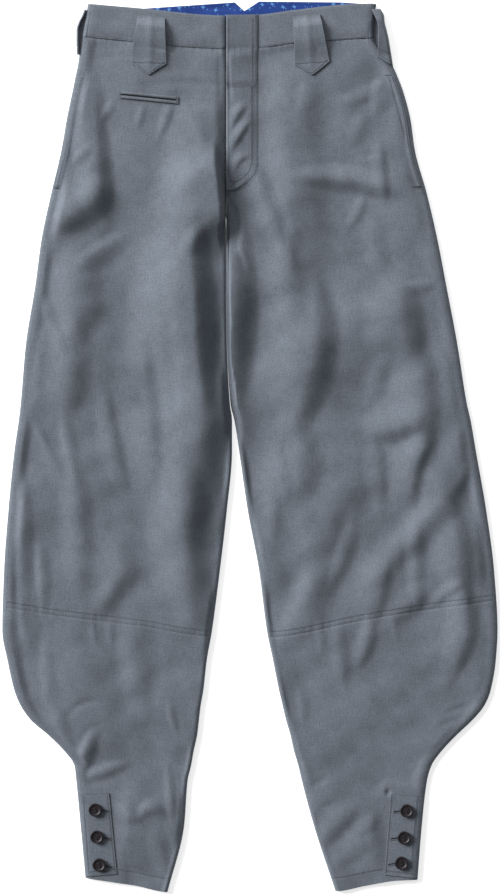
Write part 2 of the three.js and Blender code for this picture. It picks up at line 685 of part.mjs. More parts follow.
// The two lips of the small pocket, side by side along its slit.
function addWeltPocket() {
  const tilt = (SLIT.inY - SLIT.outY) / (SLIT.inX - SLIT.outX);
  const middle = (x) => SLIT.outY + (x - SLIT.outX) * tilt;
  for (const [name, sign] of [["upper", 1], ["lower", -1]]) {
    const near = (x) => middle(x) + (sign * WELT.slit) / 2;
    const far = (x) => near(x) + sign * WELT.wide;
    const welt = wallOn({
      rightEdge: () => SLIT.outX,
      leftEdge: () => SLIT.inX,
      top: sign > 0 ? far : near,
      bottom: sign > 0 ? near : far,
      columns: range(WELT_STEPS.along),
      rows: range(WELT_STEPS.across),
      height: (x, y) => frontHeight(RIGHT, x, y),
      lift: SEAM,
      thick: WELT.wall,
    });
    add(`welt_pocket_${name}_welt`, welt, clothFinish);
  }
}

function addSidePockets() {
  for (const leg of LEGS) {
    const outerEdge = (y) => leg.outerSeam(y) + leg.inward * SEAM;
    const strip = wallOn({
      rightEdge: outerEdge,
      leftEdge: (y) => outerEdge(y) + leg.inward * POCKET_STRIP.wide,
      top: () => POCKET_STRIP.top,
      bottom: () => POCKET_STRIP.bottom,
      columns: range(STRIP_STEPS.across),
      rows: range(STRIP_STEPS.along),
      height: (x, y) => frontHeight(leg, x, y),
      lift: SEAM,
      thick: POCKET_STRIP.wall,
    });
    add(`side_pocket_welt_${leg.side}`, strip, clothFinish);
  }
}

function addAnklePlackets() {
  for (const ankle of ANKLES) {
    const leg = LEGS.find((one) => one.side === ankle.side);
    const at = (u, v) => {
      const x = lerp(lerp(ankle.outTop, ankle.inTop, u), lerp(ankle.outLow, ankle.inLow, u), v);
      const y = lerp(lerp(ankle.outTopY, ankle.inTopY, u), lerp(ankle.outLowY, ankle.inLowY, u), v);
      const edge = leg.outer(y) + leg.inward;
      return { x: leg.inward > 0 ? Math.max(edge, x) : Math.min(edge, x), y };
    };
    const face = (up) =>
      range(PLACKET_ROWS).map((v) =>
        PLACKET_COLUMNS.map((u) => {
          const { x, y } = at(u, v);
          return new THREE.Vector3(x, y, frontHeight(leg, x, y) + SEAM + up);
        }),
      );
    add(`ankle_placket_${ankle.side}`, closedWall(face(PLACKET_WALL), face(0)), clothFinish);
  }
}

// ---------------------------------------------------------------- buttons

function solidOf(geometry) {
  const bare = geometry.clone();
  bare.deleteAttribute("normal");
  bare.deleteAttribute("uv");
  const merged = mergeVertices(bare);
  return new wasm.Manifold(
    new wasm.Mesh({
      numProp: 3,
      vertProperties: merged.getAttribute("position").array,
      triVerts: new Uint32Array(merged.index.array),
    }),
  );
}

function geometryOf(solid) {
  const mesh = solid.getMesh();
  const geometry = new THREE.BufferGeometry();
  geometry.setAttribute("position", new THREE.BufferAttribute(mesh.vertProperties, 3));
  geometry.setIndex(new THREE.BufferAttribute(mesh.triVerts, 1));
  return geometry;
}

// Points of a circle, with "way" -1 for a hole.
function circle(x, y, radius, corners, way) {
  const angles = range(corners).slice(1).map((t) => way * t * 2 * Math.PI);
  return angles.map((a) => new THREE.Vector2(x + radius * Math.cos(a), y + radius * Math.sin(a)));
}

// A plate with four holes inside a raised rim.
function buttonGeometry() {
  const { radius, plate, rimHigh, rimWide, bevel, hole, holePitch } = BUTTON;
  const disc = new THREE.Shape(circle(0, 0, radius - rimWide / 2, CORNERS.plate, 1));
  for (const [sx, sy] of [[1, 1], [-1, 1], [-1, -1], [1, -1]]) {
    disc.holes.push(new THREE.Path(circle(sx * holePitch, sy * holePitch, hole, CORNERS.hole, -1)));
  }
  const body = new THREE.ExtrudeGeometry(disc, { depth: plate, bevelEnabled: false });
  const top = plate + rimHigh;
  const profile = [
    [radius - rimWide, bevel],
    [radius - bevel, 0],
    [radius, bevel],
    [radius, top - bevel],
    [radius - bevel, top],
    [radius - rimWide, top - bevel],
    [radius - rimWide, bevel],
  ].map(([r, z]) => new THREE.Vector2(r, z));
  const rim = new THREE.LatheGeometry(profile, CORNERS.plate).rotateX(Math.PI / 2);
  return geometryOf(solidOf(body).add(solidOf(rim)));
}

function addButtons() {
  const shape = buttonGeometry();
  const seat = ROLL_HIGH + SEAM + PLACKET_WALL + SEAM;
  for (const { side, number, x, y } of BUTTONS) {
    add(`button_${side}_${number}`, shape.clone().translate(x, y, seat), buttonFinish);
  }
}

addPanels();
addWaistband();
addFly();
addFrontLoops();
addSideLoops();
addWeltPocket();
addSidePockets();
addAnklePlackets();
addButtons();

export default group;
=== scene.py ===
"""Knickerbockers laid flat, front up: the cloth, sewing and buttons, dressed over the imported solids.

Lengths in the tables and dataclasses are millimetres in the part's frame: +Z is up, +Y points to
the waist and +X to the wearer's left. Meshes are written in metres.
"""

import logging
import math
from collections.abc import Callable, Sequence
from dataclasses import dataclass, field
from enum import Enum

import bpy
import numpy as np
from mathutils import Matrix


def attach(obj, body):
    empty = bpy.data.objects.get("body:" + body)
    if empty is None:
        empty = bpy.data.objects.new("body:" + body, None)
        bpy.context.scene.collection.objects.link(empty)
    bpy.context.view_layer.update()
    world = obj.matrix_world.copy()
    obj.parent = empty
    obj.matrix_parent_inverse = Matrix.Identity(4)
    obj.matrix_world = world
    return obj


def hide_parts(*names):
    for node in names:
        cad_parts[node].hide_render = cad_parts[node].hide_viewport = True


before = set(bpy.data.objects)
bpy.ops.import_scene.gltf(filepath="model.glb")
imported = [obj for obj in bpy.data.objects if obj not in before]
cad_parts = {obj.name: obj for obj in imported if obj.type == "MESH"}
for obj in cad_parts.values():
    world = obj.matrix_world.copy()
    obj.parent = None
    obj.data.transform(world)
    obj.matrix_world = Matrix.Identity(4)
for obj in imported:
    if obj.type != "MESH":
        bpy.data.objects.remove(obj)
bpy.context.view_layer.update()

log = logging.getLogger("knickerbockers")

MM = 0.001
CENTRE = -27.0  # centre front and centre back, X
CROTCH_TOP = 262.0  # where the inner edges begin to turn down to a tube of their own
CROTCH_END = 248.0
CENTRE_SPACE = 0.15  # from the centre to the nearest cloth
CENTRE_SHADE = CENTRE - 0.7  # painted shadow line where the right front goes down beside the fly
HALF_SEAM = 0.06  # half the space between two pieces at a seam
ROLL = 11  # stations round a turned side edge
FAR_OFF = 99.0  # distance given to places that no sewn row runs beside
ROW_END = 0.8  # how far a sewn row's groove runs on past its ends
PLACE_ROUNDS = 6  # rounds in which a place on the cloth is found

Array = np.ndarray
Height = Callable[[Array, Array], Array]
Line = Callable[[Array], Array]
Place = tuple[float, float]
Points = Sequence[Place]
Piece = bpy.types.Object
Screen = tuple[int, int, int]


class Slot(Enum):
    """Material slots."""

    CLOTH = "cloth"
    LINING = "lining"
    BUTTON = "button"


class Side(Enum):
    """The wearer's sides."""

    RIGHT = "right"
    LEFT = "left"


# ---- the pattern's lines

# Y, then the outer and inner edge of the right leg and the inner and outer edge of the left leg.
OUTLINE = (
    (512, -185, -27, -27, 147),
    (492, -188, -27, -27, 143),
    (478, -190.5, -27, -27, 142),
    (466, -192.5, -27, -27, 142.8),
    (455, -194.5, -27, -27, 149.5),
    (444, -196, -27, -27, 158.5),
    (435, -197.5, -27, -27, 165.3),
    (426, -199.5, -27, -27, 169.3),
    (409, -203, -27, -27, 176),
    (375, -210, -27, -27, 185),
    (340, -216, -27, -27, 190),
    (289, -228, -27, -27, 204),
    (237, -239, -27, -26.9, 216),
    (185, -246, -27, -26.9, 226),
    (116, -257, -26, -25.8, 239),
    (47, -263, -22.4, -21.6, 250),
    (30, -265, -20, -17.4, 254),
    (-5, -270, -20, -12, 260),
    (-74, -277, -26, -2, 272),
    (-143, -282, -34, 11, 281),
    (-212, -284, -43, 20, 285),
    (-246, -278, -49, 27, 283),
    (-281, -270, -53, 34, 277),
    (-298, -263, -56, 38, 270),
    (-315, -251, -58, 42, 256),
    (-332, -231, -60, 47, 238),
    (-350, -213, -64, 51, 221),
    (-367, -201, -67, 56, 209),
    (-384, -199, -71, 60, 204),
    (-436, -194, -75, 74, 198),
    (-512, -187, -94, 99, 192),
)
FRONT_TOP = ((-190, 508), (-133, 503), (-27, 494), (10, 495), (49, 500), (116, 507), (150, 508))
BACK_TOP = ((-190, 508), (-133, 502), (-17, 510), (-6, 500), (11, 511), (104, 510), (150, 507))
WAIST_SEAM = (
    (-192, 470), (-133, 464), (-86, 459), (-27, 456), (10, 457), (49, 462), (90, 465), (160, 470),
)
BACK_SEAM = ((-192, 470), (-27, 457), (160, 470))
KNEE_SEAM = (
    (-284, -184), (-224, -194), (-170, -200.5), (-126, -206), (-45, -218),
    (28, -219), (58, -215), (104, -205), (140, -198), (196, -189), (281, -177),
)
HEM = ((-188, -496), (-130, -505), (-94, -512), (99, -511), (134, -505), (168, -499), (192, -498))


def smooth(t: Array) -> Array:
    """Eases from 0 to 1 as t goes from 0 to 1."""
    t = np.clip(t, 0, 1)
    return t * t * (3 - 2 * t)


def fade(place: Array, start: float, end: float) -> Array:
    """Eases from 0 at one place to 1 at another."""
    return smooth((place - start) / (end - start))


def bell(distance: Array, width: float) -> Array:
    """1 at no distance, falling to nearly 0 at twice a width."""
    return np.exp(-((distance / width) ** 2))


def lerp(a: Array | float, b: Array | float, t: Array | float) -> Array | float:
    """The value a part t of the way from a to b."""
    return a + (b - a) * t


class Curve:
    """A smooth function through points, with no overshoot between them."""

    def __init__(self, points: Sequence[Sequence[float]], up: int = 1) -> None:
        """Sorts the points and gives each its slope.

        Args:
            points: Rows whose first number is the place.
            up: Column of the value.
        """
        rows = sorted((row[0], row[up]) for row in points)
        self.places = np.array([row[0] for row in rows], float)
        self.values = np.array([row[1] for row in rows], float)
        rises = np.diff(self.values) / np.diff(self.places)
        before, after = np.append(rises[:1], rises), np.append(rises, rises[-1:])
        total = np.where(before * after > 0, before + after, 1.0)
        self.slopes = np.where(before * after > 0, 2 * before * after / total, 0.0)

    def __call__(self, x: Array) -> Array:
        """The curve's value at each x."""
        i = np.clip(np.searchsorted(self.places, x, side="right") - 1, 0, len(self.places) - 2)
        wide = self.places[i + 1] - self.places[i]
        t = np.clip((x - self.places[i]) / wide, 0, 1)
        return (
            self.values[i] * (1 + 2 * t) * (1 - t) ** 2
            + self.values[i + 1] * t**2 * (3 - 2 * t)
            + wide * (self.slopes[i] * t * (1 - t) ** 2 - self.slopes[i + 1] * t**2 * (1 - t))
        )


def straight(points: Points) -> Line:
    """A function of straight pieces between points sorted along X."""
    places, values = zip(*points)
    return lambda x: np.interp(x, places, values)


def shifted(line: Line, by: float) -> Line:
    """The same line, further up."""
    return lambda x: line(x) + by


def raised(face: Height, by: float) -> Height:
    """The same face, raised."""
    return lambda x, y: face(x, y) + by


front_top, waist_seam, knee_seam, hem = (Curve(p) for p in (FRONT_TOP, WAIST_SEAM, KNEE_SEAM, HEM))
back_top, back_seam = straight(BACK_TOP), straight(BACK_SEAM)


@dataclass(frozen=True)
class Fold:
    """A fold of a front, from place 1 through 2 to 3.

    It slopes over "lit" on the wearer's right or upper side and over "shade" on the other, and
    rises by "rise". A "tuck" of 1 ends its shaded side in a sharp crease.
    """

    name: str
    x1: float
    y1: float
    x2: float
    y2: float
    x3: float
    y3: float
    lit: float
    shade: float
    rise: float
    tuck: float = 0.0
    steps: int = 24
    run_out: float = 0.24  # how far it fades out past its first and last place
    steep: float = 2.3  # how fast it rises from its ends
    end_wide: float = 0.55  # part of its width at the ends
    least_rise: float = 0.4  # part of its rise that the narrowest fold keeps
    rise_wide: float = 90.0  # width that adds the whole of its rise to that
    sharpest: float = 0.6  # how sharp the crease of a full tuck is

    def path(self) -> Array:
        """Points along the fold."""
        one, two, three = (
            np.array(p, float)
            for p in ((self.x1, self.y1), (self.x2, self.y2), (self.x3, self.y3))
        )
        pull = 2 * two - 0.5 * (one + three)
        t = np.linspace(-self.run_out, 1 + self.run_out, self.steps + 1)[:, None]
        return (1 - t) ** 2 * one + 2 * t * (1 - t) * pull + t * t * three

    def height(self, x: Array, y: Array) -> Array:
        """The height that the fold adds.

        Args:
            x: Places along X.
            y: Places along Y, in the same shape.

        Returns:
            Heights in the same shape.
        """
        path, reach = self.path(), max(self.lit, self.shade)
        low, high = path.min(0) - reach, path.max(0) + reach
        near = (x > low[0]) & (x < high[0]) & (y > low[1]) & (y < high[1])
        rise = np.zeros_like(x)
        if not near.any():
            return rise
        px, py = x[near], y[near]
        far, along, turn = np.full(px.shape, np.inf), np.zeros(px.shape), np.zeros(px.shape)
        for i, (a, b) in enumerate(zip(path[:-1], path[1:])):
            dx, dy = b - a
            t = np.clip(((px - a[0]) * dx + (py - a[1]) * dy) / (dx * dx + dy * dy), 0, 1)
            gap = np.hypot(px - a[0] - t * dx, py - a[1] - t * dy)
            closer = gap < far
            far = np.where(closer, gap, far)
            along = np.where(closer, (i + t) / self.steps, along)
            turn = np.where(closer, dx * (py - a[1]) - dy * (px - a[0]), turn)
        shaded = turn > 0
        ends = smooth(self.steep * along) * smooth(self.steep * (1 - along))
        wide = np.where(shaded, self.shade, self.lit) * lerp(self.end_wide, 1, ends)
        d = np.clip(far / wide, 0, 1)
        soft, sharp = 0.5 + 0.5 * np.cos(np.pi * d), np.cos(np.pi / 2 * d)
        calm = min(1.0, self.least_rise + (self.lit + self.shade) / self.rise_wide)
        crease = np.where(shaded, self.sharpest * self.tuck, 0.0)
        rise[near] = self.rise * calm * ends * lerp(soft, sharp, crease)
        return rise


def fold_rows(*rows: tuple[str | float, ...]) -> tuple[Fold, ...]:
    """Folds from rows of their values, without the tuck where there is none."""
    return tuple(Fold(*row) for row in rows)


RIGHT_FOLDS = fold_rows(
    ("hip side", -196, 400, -200, 360, -196, 330, 14, 22, 4),
    ("pocket back", -178, 384, -176, 322, -168, 262, 32, 20, 6, 0.4),
    ("hip cross", -170, 300, -190, 278, -222, 257, 34, 28, 5.2, 0.5),
    ("hip short", -181, 345, -193, 335, -204, 324, 8, 12, 2.5),
    ("pocket left", -156, 394, -163, 384, -168, 374, 8, 9, 2, 0.2),
    ("pocket pull 1", -121, 391, -125, 379, -128, 366, 8, 8, 1.8, 0.2),
    ("pocket pull 2", -91, 390, -95, 377, -103, 356, 9, 8, 2.6, 0.3),
    ("pocket pull 3", -73, 391, -68, 379, -62, 368, 7, 7, 1.2, 0.2),
    ("thigh front", -68, 244, -67, 150, -58, 60, 78, 30, 12.5, 0.4),
    ("thigh low", -60, 92, -61, 8, -70, -90, 78, 40, 9, 0.1),
    ("knee inner", -75, -30, -77, -110, -66, -185, 46, 38, 8, 0.2),
    ("crotch tuck", -47, 255, -62, 237, -75, 222, 16, 17, 3.5, 0.4),
    ("fly side", -40, 446, -41, 400, -40, 346, 44, 12, 1.8),
    ("crotch side", -41, 334, -37, 286, -29, 234, 82, 11, 15, 0.5),
    ("fly patch", -60, 382, -58, 359, -50, 340, 14, 14, 1.5),
    ("hip band", -144, 241, -171, 224, -197, 207, 14, 22, 3.2),
    ("thigh outer", -196, 222, -197, 175, -194, 130, 34, 34, 4.6, 0.2),
    ("side line 1", -241, 182, -229, 148, -214, 117, 10, 10, 2),
    ("side line 2", -254, 116, -255, 53, -241, 14, 6, 9, 2),
    ("side line 3", -243, 30, -234, 0, -218, -32, 8, 9, 2),
    ("side ridge", -204, 142, -205, 90, -212, 42, 32, 28, 4, 0.2),
    ("knee tuck 1", -213, 31, -209, 0, -200, -36, 9, 14, 3, 0.5),
    ("knee tuck 2", -165, 55, -158, 7, -145, -39, 20, 14, 3.2),
    ("knee tuck 3", -126, 120, -119, 53, -112, -32, 40, 20, 3.4),
    ("knee side 1", -264, -34, -262, -97, -262, -182, 9, 18, 3.2),
    ("knee side 2", -241, -113, -239, -148, -237, -184, 8, 13, 3, 0.9),
    ("knee side 3", -200, -32, -197, -85, -195, -152, 25, 23, 3.4),
    ("knee seam 1", -150, -106, -149, -140, -159, -168, 28, 26, 2.6, 0.2),
    ("knee seam 2", -152, -154, -163, -174, -175, -192, 18, 18, 2, 0.2),
    ("calf side 1", -262, -179, -258, -206, -252, -235, 9, 23, 2),
    ("calf front", -134, -202, -131, -246, -126, -297, 26, 30, 3),
    ("calf pucker 1", -181, -201, -179, -214, -177, -227, 6, 7, 1.5),
    ("calf pucker 2", -163, -202, -160, -215, -157, -229, 6, 7, 1.5),
    ("calf side 2", -233, -223, -232, -269, -226, -310, 12, 14, 2.2),
    ("calf side 3", -221, -290, -216, -324, -205, -358, 12, 14, 2.4),
    ("calf arc 1", -165, -297, -189, -294, -211, -313, 6, 7, -1.8),
    ("calf arc 2", -171, -319, -186, -327, -193, -344, 5, 6, -1.5),
    ("ankle tuck", -180, -330, -190, -352, -196, -371, 10, 15, 5, 0.8),
    ("ankle ridge", -144, -365, -171, -374, -195, -385, 10, 13, 3.6),
    ("calf inner 1", -91, -297, -89, -313, -83, -330, 7, 7, 2, 0.3),
    ("calf inner 2", -94, -370, -91, -396, -89, -423, 9, 8, 2),
    ("hem wave 1", -126, -428, -142, -421, -158, -413, 12, 13, 4.2, 0.5),
    ("hem wave 2", -101, -424, -112, -414, -124, -422, 12, 13, 3.8, 0.5),
    ("hem tuck 1", -149, -443, -159, -442, -170, -444, 5, 5, -1.5),
    ("hem tuck 2", -165, -466, -174, -462, -183, -460, 3, 3, -1.2),
    ("hem side", -108, -435, -103, -460, -99, -492, 16, 14, 2),
    ("hem band", -95, -500, -119, -490, -144, -483, 7, 6, -1.5),
    ("pocket top", -27, 412, -68, 416, -128, 413, 9, 9, -1.2),
    ("loop foot", -131, 447, -151, 448, -173, 446, 7, 7, -1),
    ("thigh mid", -110, 190, -104, 120, -96, 52, 44, 18, 2.6),
    ("hip lit", -66, 392, -70, 330, -76, 262, 34, 70, 4),
    ("hip back", -186, 430, -190, 396, -186, 360, 16, 30, 3),
)
LEFT_FOLDS = fold_rows(
    ("fly crease 1", -5, 389, -14, 381, -21, 365, 11, 7, 3.4, 0.5),
    ("fly crease 2", -2, 371, -10.5, 359, -19.5, 343, 11, 6, 3.6, 0.5),
    ("fly crease 3", -2, 332, -12, 328, -17, 316, 9, 6, 2.6, 0.4),
    ("fly crease 4", -3, 307, -11, 299, -19, 293, 5, 3, 1, 0.2),
    ("front column 1", 50, 430, 48, 350, 58, 262, 42, 54, 5),
    ("front column 2", 65, 416, 64, 402, 60, 384, 14, 21, 1.6),
    ("front valley", 108, 424, 90, 398, 78, 336, 30, 30, -1.4),
    ("front bright 1", 151, 415, 129, 401, 105, 393, 14, 12, 2),
    ("front bright 2", 131, 379, 125, 363, 117, 347, 16, 14, 1.6),
    ("pocket dent", 152, 421, 149, 404, 145, 384, 13, 21, 3.2, 0.5),
    ("side crease", 149, 345, 151, 317, 155, 283, 15, 10, 3.2, 0.3),
    ("side branch", 154, 334, 136, 334, 119, 331, 6, 6, -1),
    ("hip arc", 166, 292, 118, 305, 62, 309, 20, 18, 6, 0.4),
    ("hip branch", 131, 286, 125, 269, 114, 251, 10, 9, 2.2, 0.2),
    ("crotch line", 8, 318, 20, 275, 44, 218, 18, 16, 4.6, 0.4),
    ("inner ridge", -24, 262, -21, 160, -23, 66, 5, 32, 11.5, 0.7),
    ("inner patch 1", 43, 255, 47, 237, 48, 216, 9, 15, 1.8, 0.5),
    ("inner patch 2", 38, 226, 42, 196, 50, 163, 30, 30, 4, 0.5),
    ("thigh front", 66, 196, 70, 108, 45, 20, 76, 34, 7.6, 0.2),
    ("thigh low", 60, 30, 48, -20, 30, -76, 52, 40, 4.6, 0.2),
    ("knee front 1", 63, 9, 60, -39, 56, -90, 32, 34, 2.6),
    ("knee front 2", 78, -60, 80, -116, 70, -170, 44, 46, 4.6),
    ("knee front 3", 73, -140, 66, -179, 43, -218, 26, 38, 4.6),
    ("knee short", 37, -17, 39, -39, 41, -64, 12, 12, 2),
    ("knee mid", 124, -4, 115, -42, 94, -78, 38, 36, 2.6),
    ("knee line", 142, 9, 147, -28, 150, -67, 20, 14, 3, 0.3),
    ("thigh side 1", 171, 186, 173, 139, 180, 97, 48, 32, 6.5, 0.4),
    ("thigh side 2", 190, 124, 195, 62, 200, -2, 42, 26, 5, 0.2),
    ("thigh side 3", 189, 37, 197, 7, 194, -21, 20, 22, 2, 0.2),
    ("side patch", 209, 186, 193, 184, 175, 183, 9, 13, 2.2, 0.4),
    ("hip dull", 142, 255, 144, 231, 151, 206, 16, 21, 1.8),
    ("thigh diagonal", 158, 101, 148, 76, 137, 48, 18, 16, 2.2),
    ("knee cross", 192, 26, 165, 23, 136, 14, 34, 22, 5, 0.3),
    ("knee bright", 202, 1, 187, -28, 187, -71, 31, 16, 4.2),
    ("side ridge 1", 246, 12, 228, -40, 200, -92, 34, 32, 4.6),
    ("side ridge 2", 214, -70, 196, -94, 170, -124, 28, 28, 3.6),
    ("side ridge 3", 183, -107, 159, -133, 132, -161, 26, 22, 2.6),
    ("knee shade", 191, -89, 190, -131, 193, -175, 14, 16, 3.2),
    ("side valley 1", 227, -66, 237, -120, 242, -184, 30, 22, 5, 0.5),
    ("side valley 2", 241, -163, 247, -207, 232, -259, 28, 18, 4.4, 0.4),
    ("edge crease", 257, -17, 244, -37, 232, -55, 12, 12, 1.4),
    ("seam tuck 1", 206, -162, 187, -179, 164, -198, 22, 18, 2.4, 0.2),
    ("seam tuck 2", 242, -158, 228, -166, 209, -183, 12, 9, 2.6),
    ("knee soft", 119, -83, 111, -117, 96, -156, 14, 16, 2.6),
    ("knee column", 156, -135, 148, -166, 141, -200, 28, 16, 2.8),
    ("inner soft", 35, 9, 30, -51, 26, -110, 18, 12, 1.8),
    ("calf pucker 1", 102, -205, 104, -235, 108, -274, 14, 14, 2.2),
    ("calf pucker 2", 137, -200, 135, -223, 126, -248, 15, 14, 3.2),
    ("calf pucker 3", 79, -201, 81, -217, 83, -233, 7, 9, 1.5),
    ("calf pucker 4", 164, -195, 166, -207, 170, -221, 7, 8, 1.4),
    ("calf side 1", 258, -297, 242, -301, 225, -307, 6, 7, -1.6),
    ("calf side 2", 239, -314, 228, -317, 217, -323, 6, 6, -1.1),
    ("calf inner 1", 58, -278, 60, -298, 63, -320, 7, 12, 1.6),
    ("calf inner 2", 90, -381, 79, -386, 70, -392, 6, 7, -1.6),
    ("calf inner 3", 101, -408, 90, -412, 81, -416, 6, 7, -1.2),
    ("ankle fold 1", 120, -414, 99, -434, 82, -453, 20, 18, 2.4, 0.1),
    ("ankle fold 2", 147, -424, 127, -444, 103, -467, 16, 14, 2.2, 0.1),
    ("ankle fold 3", 143, -448, 122, -463, 101, -478, 12, 14, 2.2, 0.1),
    ("fly top", -22, 474, -22, 438, -19, 402, 3, 34, 2.2),
)


@dataclass
class Leg:
    """One leg and its half of the hips."""

    side: Side
    inward: int  # +1 where the inner edge has the larger X
    folds: tuple[Fold, ...]
    roll_deep: float = 4.5  # distance from a side edge to its seam
    inner_deep: float = 2.4  # the same at the inner edge
    seam: float = 2 * HALF_SEAM
    centre_gap: float = 0.0

    def __post_init__(self) -> None:
        """Draws the edges."""
        outer, inner = (1, 2) if self.side is Side.RIGHT else (4, 3)
        self.outer, self.inner = Curve(OUTLINE, outer), Curve(OUTLINE, inner)

    def turned(self, y: Array) -> Array:
        """0 where the backs lie flat under the fronts, 1 where the leg is a tube of its own."""
        return fade(y, CROTCH_TOP, CROTCH_END)

    def outer_seam(self, y: Array) -> Array:
        """X of the side seam."""
        return self.outer(y) + self.inward * self.roll_deep

    def inner_seam(self, y: Array) -> Array:
        """X of the inseam, or of the centre front above the crotch."""
        return self.inner(y) - self.inward * lerp(CENTRE_SPACE, self.inner_deep, self.turned(y))

    def front_edges(self, y: Array) -> tuple[Array, Array]:
        """X of a front's outer and inner edge."""
        turned = self.turned(y)
        inner_space = lerp(self.centre_gap, self.seam, turned)
        return (
            self.outer_seam(y) + self.inward * self.seam,
            self.inner_seam(y) - self.inward * inner_space,
        )


class Ripples:
    """Low unevenness that all laid cloth keeps: a few dozen waves in every direction."""

    def __init__(self, seed: int, shortest: float, longest: float, count: int = 28) -> None:
        """Draws the waves.

        Args:
            seed: Seed of the waves.
            shortest: Shortest wavelength.
            longest: Longest wavelength.
            count: Number of waves.
        """
        rng = np.random.default_rng(seed)
        lengths = np.exp(rng.uniform(math.log(shortest), math.log(longest), count))
        angles = rng.uniform(0, 2 * np.pi, count)
        self.waves = 2 * np.pi / lengths * np.array([np.cos(angles), np.sin(angles)])
        self.phases = rng.uniform(0, 2 * np.pi, count)

    def __call__(self, x: Array, y: Array) -> Array:
        """Heights with a spread of about 1."""
        total = np.zeros_like(x)
        for kx, ky, phase in zip(*self.waves, self.phases):
            total += np.sin(kx * x + ky * y + phase)
        return total * math.sqrt(2 / len(self.phases))


@dataclass(frozen=True)
class Drawn:
    """How a seam draws in the cloth: puckers beside it and a groove along it."""

    rise: float  # height of the puckers
    reach: float  # how far they run out
    middle: float  # where they are highest, from the seam
    groove_wide: float
    groove: float = 0.4  # its depth

    def height(self, across: Array, waves: Array) -> Array:
        """What the seam adds at a distance across it, with waves along it."""
        puckers = self.rise * waves * np.exp(-np.abs(across - self.middle) / self.reach)
        return puckers - self.groove * bell(across, self.groove_wide)


